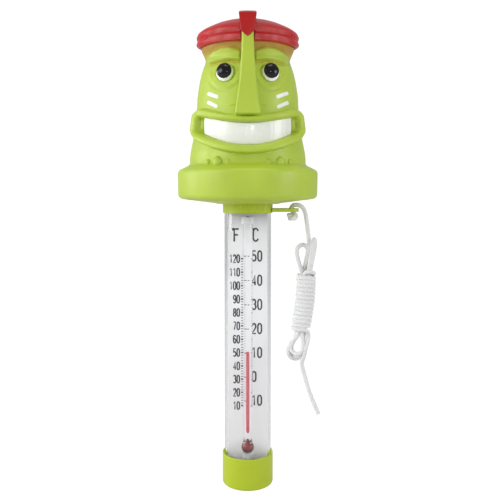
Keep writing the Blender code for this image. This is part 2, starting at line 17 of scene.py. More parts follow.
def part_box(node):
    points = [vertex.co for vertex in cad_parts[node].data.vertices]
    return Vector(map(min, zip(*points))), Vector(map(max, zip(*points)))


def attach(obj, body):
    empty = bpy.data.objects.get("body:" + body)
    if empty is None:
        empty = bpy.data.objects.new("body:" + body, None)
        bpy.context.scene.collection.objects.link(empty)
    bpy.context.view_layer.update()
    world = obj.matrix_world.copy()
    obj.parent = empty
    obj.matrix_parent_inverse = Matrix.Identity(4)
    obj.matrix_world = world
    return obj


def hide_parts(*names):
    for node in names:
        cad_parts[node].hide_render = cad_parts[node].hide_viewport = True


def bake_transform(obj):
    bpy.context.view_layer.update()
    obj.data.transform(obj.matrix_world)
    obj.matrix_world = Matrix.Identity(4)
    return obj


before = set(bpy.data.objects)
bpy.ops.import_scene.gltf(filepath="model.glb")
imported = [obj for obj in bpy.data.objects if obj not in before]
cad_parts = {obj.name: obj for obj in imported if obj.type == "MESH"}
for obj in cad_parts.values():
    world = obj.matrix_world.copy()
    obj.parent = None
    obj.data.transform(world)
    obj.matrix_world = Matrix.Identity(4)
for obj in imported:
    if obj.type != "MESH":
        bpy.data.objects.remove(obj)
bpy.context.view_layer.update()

bl_info = {
    "name": "Pool Thermometer Looks",
    "version": (1, 0, 0),
    "blender": (4, 5, 0),
    "location": "View3D > Sidebar > Thermometer",
    "description": "Builds the visible pieces of a floating pool thermometer round its frame",
    "category": "Object",
}

MM = 0.001
TURN = 2 * math.pi

# What rides on what.
FLOAT, TUBE, LIQUID = "float", "tube_assembly", "liquid"

# The head's outline in millimetres, as (radius, height), from the disc's top edge to the hat.
BODY_OUTLINE = [
    (29.6, 10.6), (29.6, 12.0), (29.3, 15.2), (28.7, 18.4), (28.0, 21.8), (27.3, 25.4), (26.7, 29.0),
    (26.3, 32.4), (26.0, 35.8), (25.8, 40.0), (25.6, 43.7), (25.0, 47.8), (24.3, 51.9), (23.3, 55.9),
    (22.5, 58.3), (21.7, 60.5), (21.4, 61.9), (21.9, 63.6), (22.8, 65.7), (23.4, 67.2), (23.2, 69.0),
    (22.2, 71.6),
]  # fmt: skip
CROWN_OUTLINE = [(20.3, 73.8), (17.0, 75.8), (11.5, 77.4), (0.0, 78.3)]
CAVITY_OUTLINE = [
    (0.0, 76.3), (11.0, 75.4), (17.2, 73.4), (20.0, 70.0), (19.9, 62.0), (21.1, 54.0), (23.0, 44.0),
    (23.7, 34.0), (23.8, 22.0), (26.9, 13.0), (27.6, 8.8), (32.2, 6.6), (33.9, 5.0), (33.9, -7.6),
]  # fmt: skip
# The toes on the disc's ledge in millimetres: across, half width, how high they stand, how far they stand out.
TOES = [
    (-18.9, 1.5, 1.9, 1.5), (-14.2, 2.4, 3.2, 2.6), (-9.4, 1.4, 1.9, 1.2),
    (9.8, 1.3, 1.9, 1.2), (15.4, 2.5, 3.0, 2.5), (20.0, 1.3, 1.9, 1.4),
]  # fmt: skip
# The painted bars on the cheeks in millimetres, each from one end to the other as (across, height).
CHEEK_BARS = [
    ((-19.5, 43.7), (-14.3, 41.3)), ((-19.6, 39.5), (-14.7, 36.7)),
    ((13.9, 41.3), (19.6, 43.9)), ((14.2, 36.5), (19.8, 39.3)),
]  # fmt: skip
# Colours that several finishes share.
WHITE = (1.0, 1.0, 1.0)

# The tether's route in millimetres from the lug to the hank, and from the hank to the free end.
LEAD_ROUTE = [
    (22.3, 0.0, -14.3), (22.35, 0.0, -12.9), (22.9, 0.0, -11.6), (24.0, 0.0, -10.9), (25.8, 0.0, -10.9),
    (27.7, 0.1, -11.7), (29.2, 0.2, -13.6), (30.0, 0.3, -16.4), (30.6, 0.3, -20.5), (31.1, 0.2, -24.5),
    (31.5, 0.0, -28.6),
]  # fmt: skip
TAIL_ROUTE = [
    (27.8, 0.0, -92.2), (28.3, -0.1, -94.5), (29.2, -0.2, -98.0), (30.4, -0.3, -102.5), (31.9, -0.4, -107.5),
    (33.9, -0.4, -113.0), (37.0, -0.4, -120.3),
]  # fmt: skip
# The hank's middle line in millimetres, as (height, x).
HANK_LINE = [
    (-29.0, 31.0), (-38.0, 30.5), (-45.0, 30.2), (-52.0, 30.2), (-61.0, 29.7), (-68.0, 28.7), (-76.0, 27.4),
    (-84.0, 26.0), (-92.0, 25.3),
]  # fmt: skip
# Where a loop's legs are given a point, as shares of their length.
LEG_SHARES = (0.25, 0.5, 0.75)

# The cord's braid: strands each way round, its pitch in millimetres, and its relief as a share of the radius.
BRAID_STRANDS = 4
BRAID_PITCH = 2.6
BRAID_RELIEF = 0.065


# ---------------------------------------------------------------- helpers: numbers and lines


def smooth(low, high, value):
    """0 below low, 1 above high, and an S curve in between."""
    share = np.clip((value - low) / (high - low), 0.0, 1.0)
    return share * share * (3 - 2 * share)


def smooth_line(points, spacing):
    """Points about spacing apart on a smooth curve through the given points, which have any dimension."""
    route = np.array(points, float)
    ends = np.vstack([2 * route[0] - route[1], route, 2 * route[-1] - route[-2]])
    fine = []
    for a, b, c, d in zip(ends, ends[1:], ends[2:], ends[3:]):
        before, across, after = (max(math.sqrt(np.linalg.norm(step)), 1e-6) for step in (b - a, c - b, d - c))
        leave = ((b - a) / before - (c - a) / (before + across) + (c - b) / across) * across
        enter = ((c - b) / across - (d - b) / (across + after) + (d - c) / after) * across
        t = np.linspace(0, 1, 24, endpoint=False)[:, None]
        fine.extend(b + t * leave + t**2 * (3 * (c - b) - 2 * leave - enter) + t**3 * (2 * (b - c) + leave + enter))
    fine.append(route[-1])
    fine = np.array(fine)
    walked = np.concatenate([[0], np.cumsum(np.linalg.norm(np.diff(fine, axis=0), axis=1))])
    count = max(2, round(walked[-1] / spacing) + 1)
    even = np.linspace(0, walked[-1], count)
    return np.column_stack([np.interp(even, walked, fine[:, k]) for k in range(fine.shape[1])])


def softened(points, passes):
    """Points with their kinks eased: each moves to the mean of its neighbours, some passes over."""
    for _ in range(passes):
        points = np.vstack([points[:1], (points[:-2] + points[1:-1] * 2 + points[2:]) / 4, points[-1:]])
    return points


def arc(middle, radius, start, end, count):
    """Points of an arc in the profile plane, with angles in degrees from the radial direction."""
    angles = np.radians(np.linspace(start, end, count))
    return [(middle[0] + radius * math.cos(a), middle[1] + radius * math.sin(a)) for a in angles]


# ---------------------------------------------------------------- helpers: meshes


def spun(profile, steps, closed=True):
    """A bmesh of a millimetre profile turned round Z. An edge between two poles is left out."""
    bm = bmesh.new()
    verts = [bm.verts.new((r * MM if r > 1e-4 else 0.0, 0.0, z * MM)) for r, z in profile]
    pairs = list(zip(verts, verts[1:]))
    if closed:
        pairs.append((verts[-1], verts[0]))
    edges = [bm.edges.new(pair) for pair in pairs if max(v.co.x for v in pair) > 0]
    bmesh.ops.spin(bm, geom=verts + edges, axis=(0, 0, 1), cent=(0, 0, 0), angle=TURN, steps=steps, use_merge=True)
    bmesh.ops.remove_doubles(bm, verts=bm.verts, dist=1e-7)
    bmesh.ops.dissolve_degenerate(bm, edges=bm.edges, dist=1e-8)
    bmesh.ops.recalc_face_normals(bm, faces=bm.faces)
    return bm


def extruded(outline, depth, holes=()):
    """A bmesh of a flat millimetre outline in the XY plane, extruded up by depth, with holes through it."""
    bm = bmesh.new()
    edges = []
    for loop in (outline, *holes):
        verts = [bm.verts.new((x * MM, y * MM, 0.0)) for x, y in loop]
        edges += [bm.edges.new((a, b)) for a, b in zip(verts, verts[1:] + verts[:1])]
    faces = [f for f in bmesh.ops.triangle_fill(bm, use_beauty=True, use_dissolve=False, edges=edges)["geom"]
             if isinstance(f, bmesh.types.BMFace)]
    made = bmesh.ops.extrude_face_region(bm, geom=faces)
    bmesh.ops.translate(bm, vec=(0, 0, depth * MM), verts=moved_verts(made))
    bmesh.ops.recalc_face_normals(bm, faces=bm.faces)
    return bm


def bevel_sharp(bm, width, segments=3, over=30):
    """Rounds every edge sharper than an angle in degrees."""
    sharp = [e for e in bm.edges if len(e.link_faces) == 2 and e.calc_face_angle(0) > math.radians(over)]
    bmesh.ops.bevel(bm, geom=sharp, offset=width * MM, segments=segments, profile=0.5, affect="EDGES", material=-1,
                    clamp_overlap=True)


def polar(places):
    """Radii and heights in millimetres and angles from the face's middle, of places in metres."""
    return np.hypot(places[:, 0], places[:, 1]) / MM, places[:, 2] / MM, np.arctan2(places[:, 0], -places[:, 1])


def from_polar(radius, turn, height):
    """Places in metres of radii, angles and heights; the lengths are in millimetres."""
    return np.column_stack([radius * np.sin(turn), -radius * np.cos(turn), height]) * MM


def paint_layer(piece, name, values):
    """Stores a number for each of a piece's vertices, which its material reads by name."""
    layer = piece.data.attributes.new(name, "FLOAT", "POINT")
    layer.data.foreach_set("value", values.astype(np.float32))


def moved_verts(made):
    """The vertices among what an extrusion made."""
    return [v for v in made["geom"] if isinstance(v, bmesh.types.BMVert)]


def reshape(bm, change):
    """Moves a bmesh's vertices: change takes an array of places in metres and returns the new ones."""
    places = np.array([v.co for v in bm.verts])
    for vert, place in zip(bm.verts, change(places)):
        vert.co = place


def add_piece(name, source, material, body, replaced=(), sharp=40):
    """Makes an object of a bmesh or a mesh, with its material, and hangs it on its body."""
    if isinstance(source, bmesh.types.BMesh):
        mesh = bpy.data.meshes.new(name)
        source.to_mesh(mesh)
        source.free()
    else:
        mesh = source
        mesh.name = name
    mesh.shade_smooth()
    mesh.set_sharp_from_angle(angle=math.radians(sharp))
    mesh.materials.clear()
    mesh.materials.append(material)
    piece = bpy.data.objects.new(name, mesh)
    bpy.context.scene.collection.objects.link(piece)
    if body:
        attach(piece, body)
    if replaced:
        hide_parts(*replaced)
    return piece


def evaluated_mesh(obj):
    """A mesh of what an object's modifiers, bevel or text make, and removes the object."""
    bpy.context.view_layer.update()
    graph = bpy.context.evaluated_depsgraph_get()
    mesh = bpy.data.meshes.new_from_object(obj.evaluated_get(graph))
    bpy.data.objects.remove(obj)
    return mesh


def braided_tube(points, radius, cyclic=False):
    """A mesh tube along points in millimetres, with a diamond braid raised on it."""
    curve = bpy.data.curves.new("braid_line", "CURVE")
    curve.dimensions = "3D"
    curve.bevel_depth = radius * MM
    curve.bevel_resolution = 5
    spline = curve.splines.new("POLY")
    spline.points.add(len(points) - 1)
    for point, place in zip(spline.points, points):
        point.co = (*(place * MM), 1.0)
    spline.use_cyclic_u = cyclic
    line = bpy.data.objects.new("braid_line", curve)
    bpy.context.scene.collection.objects.link(line)
    mesh = evaluated_mesh(line)
    sides = 2 * curve.bevel_resolution + 4
    count = len(points)
    places = np.array([v.co for v in mesh.vertices])
    rings = places[: count * sides].reshape(count, sides, 3)
    steps = np.linalg.norm(np.diff(points, axis=0), axis=1)
    along = np.concatenate([[0], np.cumsum(steps)])[:, None]
    around = np.arange(sides)[None, :] * TURN / sides
    cross = BRAID_STRANDS * around
    wave = along * TURN / BRAID_PITCH
    ridge = np.maximum(np.cos(0.5 * (cross + wave)) ** 4, np.cos(0.5 * (cross - wave)) ** 4)
    middles = points[:, None, :] * MM
    grown = middles + (rings - middles) * (1 + BRAID_RELIEF * (ridge[..., None] - 0.6))
    places[: count * sides] = grown.reshape(-1, 3)
    mesh.vertices.foreach_set("co", places.ravel())
    # How high the braid stands, which the cord's material turns into painted shade between the strands.
    height = mesh.attributes.new("ridge", "FLOAT", "POINT")
    values = np.full(len(mesh.vertices), 0.5)
    values[: count * sides] = ridge.ravel()
    height.data.foreach_set("value", values)
    bm = bmesh.new()
    bm.from_mesh(mesh)
    bmesh.ops.holes_fill(bm, edges=[e for e in bm.edges if e.is_boundary], sides=0)
    bmesh.ops.recalc_face_normals(bm, faces=bm.faces)
    bm.to_mesh(mesh)
    bm.free()
    return mesh


# ---------------------------------------------------------------- helpers: materials


def node(tree, kind, links=(), **values):
    """Adds a shader node; values set its properties, and links are (input name, socket or value)."""
    made = tree.nodes.new(kind)
    for key, value in values.items():
        setattr(made, key, value)
    for key, value in links:
        if isinstance(value, bpy.types.NodeSocket):
            tree.links.new(value, made.inputs[key])
        else:
            made.inputs[key].default_value = value
    return made


def new_material(name, colour, roughness, **sockets):
    """A Principled material; sockets are further inputs, with underscores for spaces."""
    made = bpy.data.materials.new(name)
    made.use_nodes = True
    shader = made.node_tree.nodes["Principled BSDF"]
    shader.inputs["Base Color"].default_value = (*colour, 1.0)
    shader.inputs["Roughness"].default_value = roughness
    for key, value in sockets.items():
        shader.inputs[key.replace("_", " ")].default_value = value
    return made, made.node_tree, shader


def noise(tree, scale, detail=3.0, rough=0.5):
    place = node(tree, "ShaderNodeTexCoord").outputs["Object"]
    return node(tree, "ShaderNodeTexNoise", [("Vector", place), ("Scale", scale), ("Detail", detail),
                                             ("Roughness", rough)]).outputs["Fac"]


def ramp(tree, factor, low, high, out_low, out_high):
    """Maps a value's range to another, without going past its ends."""
    made = node(tree, "ShaderNodeMapRange", [("Value", factor), ("From Min", low), ("From Max", high),
                                             ("To Min", out_low), ("To Max", out_high)])
    return made.outputs["Result"]


def mixed(tree, factor, first, second):
    """A colour between two colours, each a socket or three numbers."""
    made = node(tree, "ShaderNodeMix", data_type="RGBA")
    for key, value in (("Factor", factor), ("A", first), ("B", second)):
        socket = [s for s in made.inputs if s.name == key and s.enabled][0]
        if isinstance(value, bpy.types.NodeSocket):
            tree.links.new(value, socket)
        else:
            socket.default_value = (*value, 1.0) if hasattr(value, "__len__") else value
    return [s for s in made.outputs if s.enabled][0]


def bump(tree, shader, height, distance, strength=1.0):
    made = node(tree, "ShaderNodeBump", [("Height", height), ("Distance", distance), ("Strength", strength)])
    tree.links.new(made.outputs["Normal"], shader.inputs["Normal"])


def moulded(name, colour, roughness, grain=0.00002, tones=0.05, **sockets):
    """Moulded plastic: slightly uneven colour and gloss, and the fine grain of a mould's skin."""
    made, tree, shader = new_material(name, colour, roughness, **sockets)
    broad = noise(tree, 55.0, 2.0)
    dark = tuple(c * (1 - tones) for c in colour)
    light = tuple(min(1.0, c * (1 + tones)) for c in colour)
    tone = mixed(tree, ramp(tree, broad, 0.3, 0.7, 0.0, 1.0), dark, light)
    tree.links.new(tone, shader.inputs["Base Color"])
    gloss = ramp(tree, noise(tree, 420.0, 4.0), 0.25, 0.75, roughness * 0.86, roughness * 1.16)
    tree.links.new(gloss, shader.inputs["Roughness"])
    bump(tree, shader, noise(tree, 1900.0, 3.0, 0.6), grain, 0.6)
    return made, tree, shader, tone


def cached(name, make):
    """The material of that name, made once."""
    return bpy.data.materials.get(name) or make()


def float_green():
    """Lime plastic of the head: a thin red-brown paint overspray under the hat's edge, and the same red-brown laid as
    painted shade in the brow creases and along the nose's sides.
    """
    def make():
        looks = bpy.context.scene.thermo_head
        made, tree, shader, tone = moulded("float_green", tuple(looks.green), looks.gloss,
                                           Subsurface_Weight=0.06, Subsurface_Scale=0.004)
        shader.inputs["Subsurface Radius"].default_value = (0.6, 1.0, 0.25)
        # Red-brown paint overspray under the hat, and painted shade in the creases, as much as the head's mesh
        # stores.
        haze = node(tree, "ShaderNodeAttribute", attribute_name="haze").outputs["Fac"]
        speck = ramp(tree, noise(tree, 700.0, 5.0, 0.7), 0.3, 0.7, 0.82, 1.12)
        amount = node(tree, "ShaderNodeMath", [(0, haze), (1, speck)], operation="MULTIPLY", use_clamp=True)
        tinted = mixed(tree, amount.outputs["Value"], tone, tuple(looks.haze))
        rim = node(tree, "ShaderNodeAttribute", attribute_name="paint_edge").outputs["Fac"]
        tree.links.new(mixed(tree, rim, tinted, tuple(looks.paint_edge)), shader.inputs["Base Color"])
        return made
    return cached("float_green", make)


def trim_green():
    """The same lime plastic on the collar, base and end cap, without paint."""
    def make():
        looks = bpy.context.scene.thermo_head
        made, _, shader, _ = moulded("trim_green", tuple(looks.trim), looks.gloss * 0.85, 0.000006, 0.02,
                                     Subsurface_Weight=0.05, Subsurface_Scale=0.003)
        shader.inputs["Subsurface Radius"].default_value = (0.6, 1.0, 0.25)
        return made
    return cached("trim_green", make)


def hat_red(name, colour, gloss):
    """Painted red plastic, glossy, with painted highlights: pale pink on its sharp edges and on the tops of the
    plaited strokes.
    """
    def make():
        made, tree, shader, tone = moulded(name, colour, gloss, 0.00001, 0.08, Specular_IOR_Level=0.2)
        # Painted highlight: the sharpest edges turn pale pink.
        edge = node(tree, "ShaderNodeNewGeometry").outputs["Pointiness"]
        thin = ramp(tree, edge, 0.51, 0.58, 0.0, 0.22)
        edge_highlighted = mixed(tree, thin, tone, (0.66, 0.17, 0.15))
        # Painted highlight on the tops of the plaited strokes, in patches.
        strokes = node(tree, "ShaderNodeAttribute", attribute_name="ridge").outputs["Fac"]
        patchy = ramp(tree, noise(tree, 260.0, 2.0), 0.35, 0.65, 0.2, 0.9)
        light = node(tree, "ShaderNodeMath", [(0, strokes), (1, patchy)], operation="MULTIPLY").outputs["Value"]
        tree.links.new(mixed(tree, light, edge_highlighted, (0.78, 0.30, 0.28)), shader.inputs["Base Color"])
        return made
    return cached(name, make)


def clear_wall(name, tint, roughness):
    """Clear moulding that lets lamps through to what it holds."""
    def make():
        made, tree, shader = new_material(name, tint, roughness, Transmission_Weight=1.0, IOR=1.45)
        drawn = ramp(tree, noise(tree, 160.0, 3.0), 0.3, 0.7, roughness * 0.6, roughness * 1.5)
        tree.links.new(drawn, shader.inputs["Roughness"])
        through = node(tree, "ShaderNodeBsdfTransparent")
        lamp = node(tree, "ShaderNodeLightPath").outputs["Is Shadow Ray"]
        chosen = node(tree, "ShaderNodeMixShader", [(0, lamp), (1, shader.outputs[0]), (2, through.outputs[0])])
        tree.links.new(chosen.outputs[0], tree.nodes["Material Output"].inputs["Surface"])
        return made
    return cached(name, make)


def cord_fabric():
    """White braided cord, with painted shade between its strands, and softly fuzzy."""
    def make():
        looks = bpy.context.scene.thermo_cord
        made, tree, shader = new_material("cord_fabric", tuple(looks.colour), 0.85, Sheen_Weight=0.35,
                                          Sheen_Roughness=0.5)
        ridge = node(tree, "ShaderNodeAttribute", attribute_name="ridge").outputs["Fac"]
        # Painted shade: greyer between the strands, where the braid is low.
        strand_shade = tuple(c * 0.87 for c in looks.colour)
        shaded_braid = mixed(tree, ramp(tree, ridge, 0.05, 0.6, 0.0, 1.0), strand_shade, tuple(looks.colour))
        tree.links.new(shaded_braid, shader.inputs["Base Color"])
        bump(tree, shader, noise(tree, 5200.0, 4.0, 0.7), 0.00004, 0.7)
        return made
    return cached("cord_fabric", make)


def plain(name, colour, roughness, grain=900.0, depth=0.00001, **sockets):
    """A simple finish with a fine grain, for small and inner pieces."""
    def make():
        made, tree, shader = new_material(name, colour, roughness, **sockets)
        spread = ramp(tree, noise(tree, grain, 3.0), 0.3, 0.7, roughness * 0.85, min(1.0, roughness * 1.15))
        tree.links.new(spread, shader.inputs["Roughness"])
        bump(tree, shader, noise(tree, grain * 2, 2.0), depth, 0.5)
        return made
    return cached(name, make)


# ---------------------------------------------------------------- settings


def size(name, description, default):
    return FloatProperty(name=name, description=description, default=default, unit="LENGTH", precision=5)


def colour(name, description, default):
    return FloatVectorProperty(name=name, description=description, default=default, size=3, min=0.0, max=1.0,
                               subtype="COLOR")


def share(name, description, default):
    return FloatProperty(name=name, description=description, default=default, min=0.0, max=1.0, subtype="FACTOR")


class StageSettings(bpy.types.PropertyGroup):
    """Camera, floor and lights."""

    distance: size("Distance", "From the tube's axis to the camera", 0.356)
    eye_height: size("Eye height", "Height of the camera above the waterline", -0.00215)
    tilt: FloatProperty(name="Tilt", description="How far the camera looks down", default=math.radians(3.28),
                        subtype="ANGLE")
    lens: FloatProperty(name="Lens", description="Focal length in millimetres", default=49.7)
    key: FloatProperty(name="Key", description="Power of the big light on the left, in watts", default=3.7)
    fill: FloatProperty(name="Fill", description="Power of the light on the right, in watts", default=2.2)
    sky: FloatProperty(name="Sky", description="Strength of the even white light all round", default=0.44)


class HeadSettings(bpy.types.PropertyGroup):
    """The float's plastic and the relief on its face."""

    green: colour("Green", "Plastic of the head and disc", (0.425, 0.56, 0.045))
    trim: colour("Trim green", "Plastic of the collar, base and end cap", (0.44, 0.545, 0.012))
    haze: colour("Haze", "Paint haze in the hollows under the hat", (0.40, 0.23, 0.02))
    paint_edge: colour("Paint edge", "Where the hat's paint ends on the head", (0.62, 0.22, 0.02))
    gloss: share("Roughness", "Roughness of the green plastic", 0.42)
    columns: IntProperty(name="Columns", description="Columns of the head's mesh", default=380, min=60, max=600)
    row: size("Row", "Spacing of the rows of the head's mesh", 0.0003)
    lip_height: size("Lip height", "How far the lips stand out", 0.0035)
    lip_width: size("Lip width", "Width of the lips", 0.0038)
    brow_height: size("Brow height", "How far the brows stand out", 0.0017)


class HatSettings(bpy.types.PropertyGroup):
    """The cap on the crown and the crest over it."""

    red: colour("Hat red", "Paint of the hat", (0.47, 0.014, 0.018))
    crest: colour("Crest red", "Paint of the crest", (0.40, 0.011, 0.010))
    gloss: share("Roughness", "Roughness of the paint", 0.3)
    weave: size("Weave relief", "Height of the plaited strokes on the hat's band", 0.00058)


class TubeSettings(bpy.types.PropertyGroup):
    """The clear tube, its collar and its end cap."""

    radius: size("Radius", "Outside radius of the tube", 0.012)
    wall: size("Wall", "Thickness of the tube's wall", 0.0012)
    ribs: IntProperty(name="Ribs", description="Fine upright ribs round the collar", default=54, min=0, max=180)
    rib_height: size("Rib height", "How far the collar's ribs stand out", 0.00022)


class ScaleSettings(bpy.types.PropertyGroup):
    """The printed card and the thermometer in front of it."""

    card: colour("Card", "Colour of the card", (0.74, 0.74, 0.75))
    ink: colour("Ink", "Colour of the print", (0.005, 0.005, 0.007))
    liquid: colour("Liquid", "Dyed liquid in the glass", (0.60, 0.05, 0.09))
    ten_degrees: size("Ten degrees F", "Height of ten degrees on the scale", 0.007042)
    lowest: size("Lowest mark", "Height of the 10 degree F mark", -0.11625)


class CordSettings(bpy.types.PropertyGroup):
    """The tether cord."""

    colour: colour("Cord", "Colour of the cord", (0.80, 0.80, 0.81))
    diameter: size("Diameter", "Thickness of the cord", 0.0022)
    length: size("Length", "Whole length of the cord", 0.81)
    turns: FloatProperty(name="Turns", description="Turns wound round the hank", default=14.125)


# ---------------------------------------------------------------- the head's surface


def mouth_line(turn):
    """Height in millimetres of the middle of the smile at an angle from the face's middle."""
    across = 28.0 * np.sin(np.clip(turn, -1.3, 1.3))
    return 23.6 + 5.7 * (across / 25.0) ** 2


def mouth_gap(turn, height):
    """Signed distance in millimetres from the mouth's opening, and the lip's width there."""
    corner = 2.2
    across = 28.0 * np.sin(np.clip(turn, -1.3, 1.3))
    half = 5.55 - 1.5 * np.minimum(across / 21.0, 1.25) ** 2 * (across != 0)
    slope = 0.01824 * across * np.cos(np.clip(turn, -1.3, 1.3))
    level = height - mouth_line(turn)
    up = (np.abs(level) - half) / np.sqrt(1 + slope**2)
    out = np.abs(turn) * 29.0 - 30.6
    outside = np.hypot(np.maximum(out + corner, 0), np.maximum(up + corner, 0))
    gap = outside + np.minimum(np.maximum(out, up) + corner, 0) - corner
    sideways = np.maximum(out, 0) / np.maximum(np.hypot(np.maximum(out, 0), np.maximum(up, 0)), 1e-6)
    width = bpy.context.scene.thermo_head.lip_width / MM
    spread = np.minimum((across / 20.0) ** 2, 1)
    width = np.where(level > 0, width * 0.84 + 1.4 * spread, width * 1.14)
    return gap, width + (6.6 - width) * sideways**2, smooth(-1.6, 0.6, out - up)


def nose_half_width(height):
    drop = np.clip((70.8 - height) / 37.8, 0, 1.1)
    return 3.15 + 3.35 * drop**1.9


def head_radius(turn, height, base):
    """The face's radius in millimetres at angles, heights and base radii, and how much red-brown overspray and
    painted shade lies there.
    """
    looks = bpy.context.scene.thermo_head
    front = np.cos(turn) > 0
    x = np.where(front, base * np.sin(turn), 99.0)
    side = np.abs(x)
    made = base.astype(float)
    # Red-brown paint overspray under the hat's edge, and some on the head's sides lower down.
    haze = smooth(61.5, 66.0, height) * 0.85 + 0.25 * smooth(57.0, 61.0, height) * smooth(14.0, 20.0, side)

    # Brows: bands that stand out most at their lower edge, over a crease.
    middle = np.interp(side, [3.5, 8.5, 13.0, 17.0, 20.5], [61.3, 62.6, 62.4, 61.7, 60.9])
    half = np.interp(side, [3.5, 8.5, 13.0, 17.0, 20.5], [2.5, 3.1, 3.2, 2.8, 1.8])
    ends = smooth(2.6, 4.0, side) * (1 - smooth(16.5, 20.8, side))
    level = (height - middle) / half
    band = (1 - smooth(0.45, 1.15, level)) * smooth(-1.25, -0.68, level)
    made += looks.brow_height / MM * band * ends * (1 - 0.25 * smooth(-0.8, 0.9, level))
    made -= 0.45 * ends * np.exp(-(((level + 1.32) / 0.26) ** 2))
    made -= 0.30 * ends * np.exp(-(((level - 1.28) / 0.28) ** 2))
    # Painted shade: the red-brown is taken off the raised brows and laid in the creases below and above them.
    haze *= 1 - 0.8 * band * ends
    haze += 0.55 * ends * np.exp(-(((level + 1.22) / 0.24) ** 2))
    haze += 0.3 * ends * np.exp(-(((level - 1.2) / 0.22) ** 2))

    # Eye sockets, lids and the bags below them.
    reach = np.hypot(side - 10.9, height - 53.3)
    below = smooth(1.5, -2.0, height - 53.3)
    made -= 0.9 * np.exp(-((reach / 6.5) ** 4))
    made += 0.4 * np.exp(-(((reach - 5.2) / 0.8) ** 2))
    made -= 0.75 * np.exp(-(((reach - 4.35) / 0.45) ** 2))
    made += 0.4 * below * np.exp(-(((reach - 6.8) / 1.1) ** 2))
    made -= 0.24 * below * np.exp(-(((reach - 8.6) / 0.9) ** 2))

    # Creases beside the nose's foot.
    crease = np.exp(-(((height - 37.7 + 0.12 * (side - 7)) / 0.35) ** 2))
    made += 0.3 * crease * smooth(5.4, 6.4, side) * (1 - smooth(8.6, 10.2, side))

    # Nose: a flat-fronted wedge that ends above in the crest's V and below on the lip.
    drop = np.clip((70.8 - height) / 37.8, 0, 1.02)
    tip = 28.3 + 4.4 * drop
    sideways = np.where(front, tip * np.tan(np.clip(np.abs(turn), 0, 1.2)), 99.0)
    half = nose_half_width(height)
    wedge = (1 - smooth(half - 0.25, half + 0.45, sideways)) * smooth(31.6, 32.8, height)
    wedge *= 1 - smooth(71.1, 71.4, height)
    tip = tip - 0.7 * smooth(half - 1.25, half + 0.1, sideways)
    forward = np.maximum(tip / np.maximum(np.cos(turn), 0.2) - made, 0)
    made += wedge * forward
    # Painted shade in red-brown along the nose's sides; its flat front is kept clear.
    haze *= 1 - 0.92 * wedge
    haze += 0.6 * smooth(50, 66, height) * np.exp(-(((sideways - half - 0.15) / 0.45) ** 2))

    # Lips: a raised ring round the opening, whose floor lies behind the teeth.
    gap, width, beside = mouth_gap(turn, height)
    across = np.clip(gap / width, 0, 1)
    ring = (1 - np.abs(2 * across - 1) ** 2.9) ** 0.46 * smooth(0.0, 0.2, 1 - across)
    near = (np.abs(turn) < 1.6) & (height < 44) & (height > 11)
    face = np.interp(height, [r[1] for r in BODY_OUTLINE], [r[0] for r in BODY_OUTLINE])
    corners = smooth(3.5, 8.0, np.abs(height - mouth_line(turn))) * smooth(0.95, 1.25, np.abs(turn))
    raised = looks.lip_height / MM + 0.35 * smooth(0.9, 1.15, np.abs(turn))
    lips = np.maximum(made, face + raised * ring * (1 - 0.45 * corners))
    made = np.where(near & (gap > 0) & (gap < width), lips, made)
    floor = face + (24.9 - face) * smooth(0, 0.8 + 2.3 * beside, -gap)
    made = np.where(near & (gap <= 0), floor, made)

    # The hollow behind the crest's tongue and under the hat.
    made = np.where(front & (height > 71.2) & (side < 8), np.minimum(made, base), made)
    return made, np.clip(haze, 0, 1)


def body_radius(height):
    """The head's base radius at a height, both in millimetres."""
    line = smooth_line(BODY_OUTLINE, 0.3)
    return np.interp(height, line[:, 1], line[:, 0])


def on_face(turn, height, lift):
    """A place in metres on the face, lifted off it, from an angle and a height in millimetres."""
    radius, _ = head_radius(turn, height, body_radius(height))
    return from_polar(radius + lift, turn, height)


class ThermoOperator(bpy.types.Operator):
    """Base of the operators: none of them asks for anything."""

    bl_options = {"REGISTER", "UNDO"}


